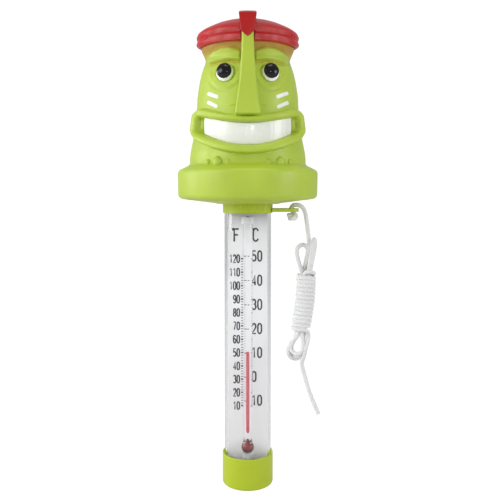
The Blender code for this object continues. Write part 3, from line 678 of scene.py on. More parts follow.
class THERMO_OT_stage(ThermoOperator):
    """Add the camera, the pale floor and backdrop, and the lights"""

    bl_idname = "thermo.stage"
    bl_label = "Stage"

    def execute(self, context):
        looks = context.scene.thermo_stage
        camera = bpy.data.cameras.new("camera")
        camera.lens = looks.lens
        camera.shift_x, camera.shift_y = 0.0045, -0.045
        eye = bpy.data.objects.new("camera", camera)
        eye.location = (0, -looks.distance, looks.eye_height)
        eye.rotation_euler = (math.pi / 2 - looks.tilt, 0, 0)
        context.scene.collection.objects.link(eye)
        context.scene.camera = eye

        self.backdrop(context)
        self.lamp(context, "key", looks.key, 0.60, (-0.72, -0.42, 0.30))
        self.lamp(context, "fill", looks.fill, 0.40, (0.80, -0.36, 0.16))
        self.lamp(context, "edge", looks.key * 0.6, 0.45, (-0.88, 0.12, 0.14))
        self.lamp(context, "top", looks.fill * 0.55, 0.45, (0.05, -0.10, 0.75))
        self.lamp(context, "bounce", looks.fill * 0.3, 0.50, (0.02, -0.50, -0.62))
        self.lamp(context, "catch", looks.fill * 0.12, 0.06, (0.10, -0.62, 0.13))

        world = bpy.data.worlds.new("sky")
        world.use_nodes = True
        tree = world.node_tree
        glow = tree.nodes["Background"]
        glow.inputs["Color"].default_value = (*WHITE, 1.0)
        glow.inputs["Strength"].default_value = looks.sky
        plain_white = node(tree, "ShaderNodeBackground", [("Color", (*WHITE, 1.0))])
        seen = node(tree, "ShaderNodeLightPath").outputs["Is Camera Ray"]
        sky = node(tree, "ShaderNodeMixShader", [(0, seen), (1, glow.outputs[0]), (2, plain_white.outputs[0])])
        tree.links.new(sky.outputs[0], tree.nodes["World Output"].inputs["Surface"])
        context.scene.world = world
        context.scene.view_settings.view_transform = "Standard"
        return {"FINISHED"}

    def backdrop(self, context):
        """A floor under the end cap that curves up into a wall behind."""
        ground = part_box("end_cap")[0].z
        bend, back, high, wide = 0.5, 1.6, 2.2, 5.0
        line = [(-1.6, ground), (0.0, ground), (back - bend, ground)]
        for step in range(1, 13):
            angle = math.pi / 2 * step / 12
            line.append((back - bend + bend * math.sin(angle), ground + bend * (1 - math.cos(angle))))
        line.append((back, ground + high))
        bm = bmesh.new()
        verts = [bm.verts.new((-wide / 2, y, z)) for y, z in line]
        edges = [bm.edges.new(pair) for pair in zip(verts, verts[1:])]
        made = bmesh.ops.extrude_edge_only(bm, edges=edges)
        bmesh.ops.translate(bm, vec=(wide, 0, 0), verts=moved_verts(made))
        bmesh.ops.recalc_face_normals(bm, faces=bm.faces)
        mesh = bpy.data.meshes.new("backdrop")
        bm.to_mesh(mesh)
        bm.free()
        mesh.shade_smooth()
        paper, tree, shader = new_material("stage_paper", (0.6, 0.6, 0.6), 0.9, Specular_IOR_Level=0.1,
                                           Emission_Strength=0.2)
        shader.inputs["Emission Color"].default_value = (*WHITE, 1.0)
        glow = node(tree, "ShaderNodeEmission", [("Color", (*WHITE, 1.0)), ("Strength", 1.12)])
        seen = node(tree, "ShaderNodeLightPath").outputs["Is Camera Ray"]
        amount = node(tree, "ShaderNodeMath", [(0, seen), (1, 0.88)], operation="MULTIPLY").outputs["Value"]
        white = node(tree, "ShaderNodeMixShader", [(0, amount), (1, shader.outputs[0]), (2, glow.outputs[0])])
        tree.links.new(white.outputs[0], tree.nodes["Material Output"].inputs["Surface"])
        mesh.materials.append(paper)
        stage = bpy.data.objects.new("backdrop", mesh)
        context.scene.collection.objects.link(stage)

    def lamp(self, context, name, power, wide, place):
        light = bpy.data.lights.new(name, "AREA")
        light.shape = "DISK"
        light.size = wide
        light.energy = power
        lamp = bpy.data.objects.new(name, light)
        lamp.location = place
        lamp.rotation_euler = (Vector((0, 0, 0.01)) - Vector(place)).to_track_quat("-Z", "Y").to_euler()
        context.scene.collection.objects.link(lamp)


def hank_place(across, depth, height):
    """A point in millimetres beside the hank's middle line."""
    line = smooth_line(HANK_LINE[::-1], 1.0)
    return (float(np.interp(height, line[:, 0], line[:, 1])) + across, depth, height)


def loop_points(start, end, middle, tip, height, plane):
    """A loop of the cord that leaves strand start at a height, turns round at its tip and comes back on strand end.

    middle is the loop's axis beside the hank's line, and plane the way from it to the first leg.
    """
    middle, plane = np.array(middle), np.array(plane)
    half = float(np.linalg.norm(plane))
    shoulder = tip + math.copysign(half, height - tip)
    places = []
    for share_up in LEG_SHARES:
        settled = 0.5 - 0.5 * math.cos(math.pi * share_up)
        spot = np.array(start) * (1 - settled) + (middle + plane) * settled
        places.append(hank_place(*spot, height + (shoulder - height) * share_up))
    for angle in np.radians(range(0, 181, 30)):
        spot = middle + plane * math.cos(angle)
        places.append(hank_place(*spot, shoulder + (tip - shoulder) * math.sin(angle)))
    for share_up in LEG_SHARES[::-1]:
        settled = 0.5 - 0.5 * math.cos(math.pi * share_up)
        spot = np.array(end) * (1 - settled) + (middle - plane) * settled
        places.append(hank_place(*spot, height + (shoulder - height) * share_up))
    return places


def tether_route(turns):
    """The cord's whole route in millimetres: lead, three folds up and down the hank, its winding, and the tail."""
    top, foot, inner, outer = -47.8, -76.8, 2.1, 4.1
    strands = [(inner * math.cos(a), inner * math.sin(a)) for a in (math.radians(60 * k) for k in range(6))]
    levels = [top, -57.0, -67.0, foot]

    def strand(k, down):
        heights = levels if down else levels[::-1]
        return [hank_place(*strands[k], height) for height in heights]

    route = list(LEAD_ROUTE)
    route += [hank_place(0.9, 1.4, -32.5), hank_place(1.1, 2.3, -37.5), hank_place(1.1, 2.2, -42.0)]
    route += strand(1, True) + loop_points(strands[1], strands[2], (-0.2, 1.2), -91.4, foot, (4.4, 1.2))
    route += strand(2, False) + loop_points(strands[2], strands[3], (-2.4, 0.4), -31.6, top, (2.9, 0.9))
    route += strand(3, True) + loop_points(strands[3], strands[0], (-0.4, 0.4), -90.0, foot, (-3.0, 2.2))
    route += strand(0, False) + loop_points(strands[0], strands[5], (3.3, -0.4), -28.6, top, (0.9, 3.0))
    route += strand(5, True) + loop_points(strands[5], strands[4], (-0.3, -1.8), -88.2, foot, (2.9, -1.7))
    route += strand(4, False)
    start = math.radians(240)
    for beyond, out, height in ((8, 2.3, 1.3), (28, 2.9, 2.3), (55, 3.6, 2.6), (85, 4.0, 2.1), (115, outer, 1.5)):
        angle = start + math.radians(beyond)
        route.append(hank_place(out * math.cos(angle), out * math.sin(angle), top + height))
    steps = 16
    for step in range(6, int(turns * steps) + 1):
        angle = start + TURN * step / steps
        height = top + 1.75 - 2.06 * step / steps
        route.append(hank_place(outer * math.cos(angle), outer * math.sin(angle), height))
    last = height
    for beyond, out, drop in ((20, 4.2, 0.3), (42, 4.6, 1.5), (54, 5.0, 4.4)):
        angle = start + TURN * turns + math.radians(beyond)
        route.append(hank_place(out * math.cos(angle), out * math.sin(angle), last - drop))
    route += [(29.9, -3.9, -85.0), (29.2, -3.0, -88.8), (28.4, -1.5, -92.0)]
    return route + TAIL_ROUTE[1:]


class THERMO_OT_tether(ThermoOperator):
    """Add the white cord from the lug through its hank to its free end, and the knot under the lug"""

    bl_idname = "thermo.tether"
    bl_label = "Tether cord"

    def execute(self, context):
        looks = context.scene.thermo_cord
        points = softened(smooth_line(tether_route(looks.turns), 0.27), 5)
        radius = looks.diameter / MM / 2
        cord = add_piece("tether_cord", braided_tube(points, radius), cord_fabric(), TUBE,
                         ("tether_lead", "tether_hank", "tether_tail"), 80)
        knot = self.knot(radius)
        return {"FINISHED"}

    def knot(self, radius):
        """A pulled-tight overhand knot, which stops the cord under the lug's hole."""
        low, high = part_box("tether_knot")
        middle = (low + high) / 2 / MM
        around = np.linspace(0, TURN, 220, endpoint=False)
        ring = 1.35 + 0.66 * np.cos(3 * around)
        loop = np.column_stack([ring * np.cos(2 * around), ring * np.sin(2 * around), 0.75 * np.sin(3 * around)])
        lean = np.array(Matrix.Rotation(math.radians(27), 3, "X") @ Matrix.Rotation(math.radians(20), 3, "Z"))
        points = loop @ lean.T + np.array(middle)
        return add_piece("tether_stopper", braided_tube(points, radius, True), cord_fabric(), TUBE,
                         ("tether_knot",), 80)


class THERMO_OT_head(ThermoOperator):
    """Add the hollow head and disc, with brows, nose and lips"""

    bl_idname = "thermo.head"
    bl_label = "Head and disc"

    def execute(self, context):
        looks = context.scene.thermo_head
        rim = [(33.9, -7.6), *arc((33.1, -5.2), 2.55, -70, -4, 12), *arc((33.3, 4.9), 2.5, 3, 66, 12)]
        ledge = [(32.4, 8.15), (31.2, 8.75), (30.6, 9.05), (30.1, 9.4), (29.8, 9.85)]
        body = [tuple(p) for p in smooth_line(BODY_OUTLINE, looks.row / MM)]
        outer = rim + ledge + body + CROWN_OUTLINE
        bm = spun(outer + CAVITY_OUTLINE, looks.columns)
        painted = {}

        def sculpt(places):
            radius, height, turn = polar(places)
            turn = turn - 0.5 * np.sin(turn)
            base = body_radius(height)
            outside = (np.abs(radius - base) < 0.05) & (height > 9.5) & (height < 73)
            face, sprayed_and_shaded = head_radius(turn, height, np.where(outside, base, radius))
            radius = np.where(outside, face, radius)
            # Stores the red-brown paint overspray and the painted shade in the creases.
            painted["haze"] = np.where(outside, sprayed_and_shaded, 0)
            painted["paint_edge"] = np.where(outside & (radius < 27.5), smooth(66.9, 67.6, height), 0)
            return from_polar(radius, turn, height)

        reshape(bm, sculpt)
        head = add_piece("head_moulding", bm, float_green(), FLOAT, ("head_shell",), 50)
        for name, values in painted.items():
            paint_layer(head, name, values)
        return {"FINISHED"}


class THERMO_OT_toes(ThermoOperator):
    """Add the six rounded toes that rest on the disc's ledge"""

    bl_idname = "thermo.toes"
    bl_label = "Toes"

    def execute(self, context):
        toes = bmesh.new()
        for across, wide, tall, out in TOES:
            made = bmesh.ops.create_uvsphere(toes, u_segments=32, v_segments=20, radius=1.0)["verts"]
            angle = math.asin(across / 29.4)
            bmesh.ops.scale(toes, vec=(wide * MM, out * MM, tall * MM), verts=made)
            bmesh.ops.rotate(toes, verts=made, cent=(0, 0, 0), matrix=Matrix.Rotation(angle, 3, "Z"))
            place = (29.3 * MM * math.sin(angle), -29.3 * MM * math.cos(angle), 9.9 * MM)
            bmesh.ops.translate(toes, vec=place, verts=made)
        add_piece("ledge_toes", toes, float_green(), FLOAT)
        return {"FINISHED"}


class THERMO_OT_eyes(ThermoOperator):
    """Add the two white eyeballs with their glossy black pupils"""

    bl_idname = "thermo.eyes"
    bl_label = "Eyes"

    def execute(self, context):
        # The whites glow faintly: painted light that keeps them bright white.
        white = plain("eye_white_glowing", (0.95, 0.95, 0.96), 0.2, Emission_Strength=0.08)
        white.node_tree.nodes["Principled BSDF"].inputs["Emission Color"].default_value = (*WHITE, 1.0)
        black = plain("pupil_gloss", (0.004, 0.004, 0.007), 0.1, depth=0.000002, Specular_IOR_Level=0.35)
        radius, rise = 4.2, 2.6
        middle = rise - (radius**2 + rise**2) / (2 * rise)
        ball = rise - middle
        start = math.degrees(math.atan2(-middle, radius))
        eyeball = [(0.0, -1.2), (radius, -1.2), *arc((0, middle), ball, start, 90, 18)]
        edge = 90 - 46
        pupil = [*arc((0, middle), ball + 0.1, 90, edge, 12),
                 *arc((0, middle), ball + 0.3, edge - 2.0, edge - 1.2, 3),
                 *arc((0, middle), ball + 0.5, edge, 90, 14)]
        for side, name in ((-1, "left"), (1, "right")):
            for piece, profile, finish, lift, inward, slot in (
                ("eyeball", eyeball, white, 0.0, 0.0, "white_plastic"),
                ("pupil_cap", pupil, black, 10.0, 9.0, "black_gloss"),
            ):
                bm = spun(profile, 48, closed=False)
                bmesh.ops.transform(bm, matrix=self.place(side, middle * MM, lift, inward), verts=bm.verts)
                node_name = ("eye_white_" if piece == "eyeball" else "pupil_") + name
                add_piece(f"{piece}_{name}", bm, finish, FLOAT, (node_name,), 50)
        return {"FINISHED"}

    def place(self, side, middle, lift, inward):
        """Puts a piece turned round Z on the face, looking outwards, then turned up and inwards by degrees."""
        angle = side * math.radians(27.9)
        seat = Matrix.Translation((24.2 * MM * math.sin(angle), -24.2 * MM * math.cos(angle), 53.2 * MM))
        outward = Matrix.Rotation(angle * 0.8, 4, "Z") @ Matrix.Rotation(math.pi / 2, 4, "X")
        pivot = Matrix.Translation((0, 0, middle))
        gaze = Matrix.Rotation(-side * math.radians(inward), 4, "Y") @ Matrix.Rotation(-math.radians(lift), 4, "X")
        return seat @ outward @ pivot @ gaze @ pivot.inverted()


class THERMO_OT_teeth(ThermoOperator):
    """Add the white insert behind the lips"""

    bl_idname = "thermo.teeth"
    bl_label = "Teeth"

    def execute(self, context):
        half = 5.2
        corner = 0.7
        outline = [(25.15, -half), *arc((26.75 - corner, -half + corner), corner, -90, 0, 5)]
        outline += [(26.75 + 0.12 * math.cos(share_up * math.pi / 2), share_up * (half - corner))
                    for share_up in np.linspace(-0.9, 0.9, 12)]
        outline += [*arc((26.75 - corner, half - corner), corner, 0, 90, 5), (25.15, half)]
        bm = bmesh.new()
        face = bm.faces.new([bm.verts.new((0, -r * MM, z * MM)) for r, z in outline])
        reach = math.radians(52.0)
        bmesh.ops.rotate(bm, verts=bm.verts, cent=(0, 0, 0), matrix=Matrix.Rotation(-reach, 3, "Z"))
        geom = [face, *face.edges, *face.verts]
        bmesh.ops.spin(bm, geom=geom, axis=(0, 0, 1), cent=(0, 0, 0), angle=2 * reach, steps=120)

        def bend(places):
            radius, height, turn = polar(places)
            tooth = np.abs(np.sin(turn * 13.5))
            radius = radius + np.where(radius > 26, 0.10 * (np.minimum(tooth * 4, 1) - 1), 0)
            return from_polar(radius, turn, height + mouth_line(turn))

        reshape(bm, bend)
        bmesh.ops.recalc_face_normals(bm, faces=bm.faces)
        enamel = plain("tooth_enamel", (0.86, 0.87, 0.84), 0.3, grain=500.0, Coat_Weight=0.2)
        add_piece("teeth_insert", bm, enamel, FLOAT, ("teeth_plate",), 50)
        return {"FINISHED"}


class THERMO_OT_cheek_bars(ThermoOperator):
    """Add the four white painted bars on the cheeks"""

    bl_idname = "thermo.cheek_bars"
    bl_label = "Cheek bars"

    def execute(self, context):
        paint = plain("bar_paint", (0.86, 0.87, 0.85), 0.35)
        for number, (start, end) in enumerate(CHEEK_BARS):
            bm = bmesh.new()
            bmesh.ops.create_grid(bm, x_segments=26, y_segments=12, size=1.0)
            start, end = np.array(start), np.array(end)
            along = (end - start) / np.linalg.norm(end - start)
            wide = np.array([-along[1], along[0]])
            half_long, half_wide, corner = np.linalg.norm(end - start) / 2 + 0.1, 0.8, 0.5

            def drape(places, start=start, end=end, along=along, wide=wide, half_long=half_long):
                u, v = places[:, 0], places[:, 1]
                cut = np.maximum(np.abs(u) * half_long - (half_long - corner), 0) / corner
                narrow = half_wide - corner * (1 - np.sqrt(np.clip(1 - cut**2, 0, 1)))
                flat = (start + end) / 2 + np.outer(u * half_long, along) + np.outer(v * narrow, wide)
                turn = np.arcsin(np.clip(flat[:, 0] / body_radius(flat[:, 1]), -0.99, 0.99))
                rim = np.minimum(1 - np.abs(u) ** 12, 1 - np.abs(v) ** 8)
                return on_face(turn, flat[:, 1], 0.02 + 0.16 * rim)

            reshape(bm, drape)
            bmesh.ops.solidify(bm, geom=bm.faces, thickness=-0.2 * MM)
            bmesh.ops.recalc_face_normals(bm, faces=bm.faces)
            add_piece(f"cheek_bar_{number + 1}", bm, paint, FLOAT, (), 60)
        return {"FINISHED"}


class THERMO_OT_hat(ThermoOperator):
    """Add the red hat with its two rolls, its ribs and the plaited band"""

    bl_idname = "thermo.hat"
    bl_label = "Hat"

    def execute(self, context):
        looks = context.scene.thermo_hat
        outline = [(24.0, 68.1), (24.3, 67.8), (24.8, 67.65), (25.3, 67.75), (25.75, 68.2), (26.0, 68.9),
                   (26.0, 69.8), (25.75, 70.6), (25.3, 71.1), (25.2, 71.35), (25.4, 71.7), (25.75, 72.3),
                   (25.9, 73.1), (25.75, 73.9), (25.2, 74.8), (24.2, 75.7), (22.3, 76.9), (19.9, 78.1),
                   (16.8, 79.5), (13.0, 80.8), (9.0, 81.7), (4.5, 82.25), (0.0, 82.4)]  # fmt: skip
        line = [tuple(p) for p in smooth_line(outline, 0.24)]
        inside = [(0.0, 78.7), (11.7, 77.8), (17.3, 76.2), (20.8, 74.1), (22.7, 71.8), (23.5, 69.2)]
        bm = spun(line + inside, 460)
        painted = {}

        def relief(places):
            radius, height, turn = polar(places)
            turn = turn - 0.4 * np.sin(turn)
            outside = (radius > 24.2) | (height > 78.85)
            outside &= ~((radius < 23.6) & (height < 78.75))
            around = 26.3 * turn
            rows = np.clip((radius - 8) / 12, 0, 1) * 0.09 * np.cos((height - 73.2) * TURN / 1.55)
            rows *= smooth(72.6, 73.6, height)
            band = smooth(67.7, 68.3, height) * (1 - smooth(70.4, 71.0, height))
            band += 0.85 * smooth(71.5, 72.1, height) * (1 - smooth(73.8, 74.6, height))
            lean = np.where(height < 71.2, -1.0, 1.0) * 0.95 * (height - 71.2)
            stroke = np.abs(np.cos((np.abs(around) + lean) * math.pi / 1.3)) ** 0.8
            fade = 1 - smooth(0.62, 1.05, np.abs(turn))
            plait = looks.weave / MM * (stroke - 0.6) * band * fade
            # The strokes' tops, where the hat's paint lays its painted highlight.
            painted["ridge"] = np.where(outside, np.clip(stroke**4 * band * fade, 0, 1), 0)
            radius = np.where(outside, radius + rows + plait, radius)
            behind = smooth(1.1, 1.8, np.abs(turn))
            height = height + np.where((height < 71.2) & (radius > 23.4), 1.5 * behind * (71.2 - height) / 3.5, 0)
            slot = (np.abs(radius * np.sin(turn)) < 3.35) & (np.cos(turn) > 0) & (height < 78)
            radius = np.where(slot & (radius > 24.0), 24.05, radius)
            return from_polar(radius, turn, height)

        reshape(bm, relief)
        red = hat_red("hat_paint", tuple(looks.red), looks.gloss)
        hat = add_piece("hat_moulding", bm, red, FLOAT, ("hat_cap",), 60)
        paint_layer(hat, "ridge", painted["ridge"])
        return {"FINISHED"}


class THERMO_OT_crest(ThermoOperator):
    """Add the crest: a bar over the hat whose front end is a keystone with a V foot"""

    bl_idname = "thermo.crest"
    bl_label = "Crest"

    def execute(self, context):
        looks = context.scene.thermo_hat
        side = [(-28.85, 71.4), (-28.85, 73.4), (-28.85, 75.4), (-28.85, 77.4), (-28.85, 79.9), (-24.5, 81.2),
                (-20.0, 82.6), (-15.0, 83.6), (-10.0, 84.25), (-5.0, 84.6), (0.0, 84.7), (5.0, 84.6), (10.0, 84.2),
                (14.5, 83.2), (18.5, 81.7), (22.0, 79.6), (24.5, 77.3), (22.4, 76.5), (16.0, 79.0), (9.0, 80.7),
                (0.0, 81.4), (-9.0, 80.7), (-16.0, 79.0), (-22.4, 76.5), (-24.3, 76.5), (-24.3, 71.4)]  # fmt: skip
        bm = bmesh.new()
        face = bm.faces.new([bm.verts.new((-MM, y * MM, z * MM)) for y, z in side])
        made = bmesh.ops.extrude_face_region(bm, geom=[face])
        bmesh.ops.translate(bm, vec=(2 * MM, 0, 0), verts=moved_verts(made))
        across = [e for e in bm.edges if abs(e.verts[0].co.x - e.verts[1].co.x) > MM]
        bmesh.ops.subdivide_edges(bm, edges=across, cuts=7, use_grid_fill=True)

        def keystone(places):
            x, y, z = places[:, 0] / MM, places[:, 1] / MM, places[:, 2] / MM
            narrow = np.interp(z, [71.0, 77.4, 79.9, 90], [3.1, 3.95, 4.3, 4.3])
            tongue = y < -24
            half = np.where(tongue, narrow, 4.2)
            foot = tongue & (z < 71.6)
            z = np.where(foot, 68.65 + 2.75 * np.abs(x), z)
            crown = 0.16 * (1 - x**2) * (z > 79)
            return np.column_stack([x * half, y, z + crown]) * MM

        reshape(bm, keystone)
        bmesh.ops.recalc_face_normals(bm, faces=bm.faces)
        bevel_sharp(bm, 0.42, 4)
        red = hat_red("crest_paint", tuple(looks.crest), looks.gloss * 1.1)
        add_piece("crest_moulding", bm, red, FLOAT, ("crest_block",), 50)
        return {"FINISHED"}


class THERMO_OT_base(ThermoOperator):
    """Add the disc's underside with its socket"""

    bl_idname = "thermo.base"
    bl_label = "Base plate"

    def execute(self, context):
        profile = [(33.7, -7.6), (33.5, -7.75), (31.2, -8.05), (31.0, -8.2), (30.7, -8.1), (16.6, -9.95),
                   (16.3, -10.15), (13.4, -10.4), (13.1, -10.2), (13.1, -5.2), (7.3, -5.2), (7.3, -1.0),
                   (9.5, -1.0), (9.5, -3.4), (15.1, -3.4), (15.1, -8.3), (33.7, -5.7)]  # fmt: skip
        add_piece("base_moulding", spun(profile, 180), trim_green(), FLOAT, ("base_plate",), 35)
        return {"FINISHED"}


class THERMO_OT_collar(ThermoOperator):
    """Add the tube's collar with its fine ribs, its spigot and the tether lug"""

    bl_idname = "thermo.collar"
    bl_label = "Collar and lug"

    def execute(self, context):
        looks = context.scene.thermo_tube
        outer, low, high = 12.8, -14.9, -5.6
        profile = [(12.15, low + 0.1), (12.3, low), *arc((outer - 0.3, low + 0.3), 0.3, -90, 0, 5),
                   *[(outer, z) for z in np.linspace(low + 0.6, high - 0.6, 12)],
                   *arc((outer - 0.3, high - 0.3), 0.3, 0, 90, 5), (7.0, high), (7.0, -4.6), (5.95, -4.6),
                   (5.95, -3.0), (7.0, -3.0), (7.0, -0.6), (7.7, -0.1), (7.7, 0.5), (6.6, 1.5), (0.0, 1.5),
                   (0.0, 0.2), (5.0, 0.2), (5.0, -7.6), (12.15, -7.6)]  # fmt: skip
        bm = spun(profile, 360)

        def ribs(places):
            radius, height, turn = polar(places)
            skirt = (radius > 12.5) & (height > low + 0.5) & (height < high - 0.5)
            wave = looks.rib_height / MM * (np.cos(turn * looks.ribs) * 0.5 - 0.5)
            return from_polar(np.where(skirt, radius + wave, radius), turn, height)

        reshape(bm, ribs)
        lug, tongue = self.lug(), bpy.data.meshes.new("lug")
        lug.to_mesh(tongue)
        lug.free()
        bm.from_mesh(tongue)
        bpy.data.meshes.remove(tongue)
        add_piece("collar_moulding", bm, trim_green(), TUBE, ("collar",), 40)
        return {"FINISHED"}

    def lug(self):
        """A flat tongue with a round end and a hole for the cord; it thins towards its end."""
        hole_x, half = 22.3, 4.0
        outline = [(12.3, -5.2), (14.0, -4.3), (16.0, -half)]
        outline += [(hole_x + half * math.cos(a), half * math.sin(a)) for a in np.radians(np.linspace(-90, 90, 29))]
        outline += [(16.0, half), (14.0, 4.3), (12.3, 5.2)]
        hole = [(hole_x + 2.0 * math.cos(a), 2.0 * math.sin(a)) for a in np.radians(np.arange(0, 360, 12))]
        bm = extruded(outline, 1.8, [hole])
        bmesh.ops.translate(bm, vec=(0, 0, -14.4 * MM), verts=bm.verts)
        bevel_sharp(bm, 0.25, 3, 60)
        return bm


class THERMO_OT_tube(ThermoOperator):
    """Add the clear tube"""

    bl_idname = "thermo.tube"
    bl_label = "Clear tube"

    def execute(self, context):
        looks = context.scene.thermo_tube
        low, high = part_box("tube_casing")
        outer, wall = looks.radius / MM, looks.wall / MM
        bottom, top = low.z / MM, high.z / MM
        heights = np.linspace(bottom + 0.3, top - 0.3, 24)
        profile = [(outer - 0.3, bottom), *[(outer, z) for z in heights], (outer - 0.3, top),
                   (outer - wall + 0.2, top), *[(outer - wall, z) for z in heights[::-1]],
                   (outer - wall + 0.2, bottom)]
        clear = clear_wall("clear_acrylic", (0.985, 0.99, 0.995), 0.02)
        add_piece("tube_wall", spun(profile, 144), clear, TUBE, ("tube_casing",), 35)
        return {"FINISHED"}


class THERMO_OT_end_cap(ThermoOperator):
    """Add the green cap at the tube's foot"""

    bl_idname = "thermo.end_cap"
    bl_label = "End cap"

    def execute(self, context):
        low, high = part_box("end_cap")
        bottom, top, outer, inner = low.z / MM, high.z / MM, 13.15, 12.15
        fillet = 1.5
        profile = [(0.0, bottom + 1.6), (inner, bottom + 1.6), (inner, top - 0.35), (inner + 0.18, top - 0.08),
                   (inner + 0.4, top), *arc((outer - 0.35, top - 0.35), 0.35, 90, 0, 7),
                   *[(outer, z) for z in np.linspace(top - 1.5, bottom + fillet + 0.2, 10)],
                   *arc((outer - fillet, bottom + fillet), fillet, 0, -82, 14), (10.2, bottom + 0.02),
                   (9.9, bottom + 0.35), (9.5, bottom + 0.45), (0.0, bottom + 0.45)]  # fmt: skip
        add_piece("cap_moulding", spun(profile, 180), trim_green(), TUBE, ("end_cap",), 35)
        return {"FINISHED"}


class THERMO_OT_inner_parts(ThermoOperator):
    """Give the seals, the ballast, the cushion and the stem's sleeve their materials"""

    bl_idname = "thermo.inner_parts"
    bl_label = "Inner parts"

    def execute(self, context):
        rubber = plain("seal_rubber", (0.018, 0.018, 0.02), 0.65)
        steel = plain("ballast_steel", (0.30, 0.29, 0.28), 0.42, grain=2500.0, Metallic=1.0)
        nylon = plain("sleeve_nylon", (0.64, 0.64, 0.65), 0.5)
        pad = self.cushion_finish(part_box("bulb_cushion")[0].z + 2.35 * MM)
        finishes = {"base_gasket": rubber, "swivel_o_ring": rubber, "top_seal": rubber, "bottom_seal": rubber,
                    "bulb_cushion": pad, "ballast_weight": steel, "stem_sleeve": nylon}
        for name, finish in finishes.items():
            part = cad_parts[name]
            part.data.materials.clear()
            part.data.materials.append(finish)
        return {"FINISHED"}

    def cushion_finish(self, level):
        """Clear silicone that darkens into the shade below a height in metres."""
        made, tree, shader = new_material("cushion_silicone", (0.9, 0.9, 0.9), 0.3,
                                          Transmission_Weight=0.35, IOR=1.2)
        place = node(tree, "ShaderNodeTexCoord").outputs["Object"]
        height = node(tree, "ShaderNodeSeparateXYZ", [(0, place)]).outputs["Z"]
        rise = ramp(tree, height, level, level + 0.6 * MM, 0.0, 1.0)
        tone = mixed(tree, rise, (0.05, 0.05, 0.05), (0.66, 0.66, 0.67))
        tree.links.new(tone, shader.inputs["Base Color"])
        bump(tree, shader, noise(tree, 1500.0, 2.0), 0.00001, 0.5)
        return made


class THERMO_OT_card(ThermoOperator):
    """Add the white card behind the stem"""

    bl_idname = "thermo.card"
    bl_label = "Scale card"

    def execute(self, context):
        low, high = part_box("scale_card")
        x, top, foot, corner = high.x / MM + 0.3, high.z / MM + 5.0, low.z / MM, 1.0
        outline = []
        for middle, start in (((x - corner, top - corner), 0), ((corner - x, top - corner), 90),
                              ((corner - x, foot + corner), 180), ((x - corner, foot + corner), 270)):
            outline += arc(middle, corner, start, start + 90, 7)
        bm = extruded(outline, (high.y - low.y) / MM)
        stand = Matrix.Translation((0, high.y, 0)) @ Matrix.Rotation(math.pi / 2, 4, "X")
        bmesh.ops.transform(bm, matrix=stand, verts=bm.verts)
        bmesh.ops.recalc_face_normals(bm, faces=bm.faces)
        looks = context.scene.thermo_scale
        paper = plain("card_stock", tuple(looks.card), 0.48, grain=1400.0, depth=0.000012)
        add_piece("scale_sheet", bm, paper, TUBE, ("scale_card",), 40)
        return {"FINISHED"}


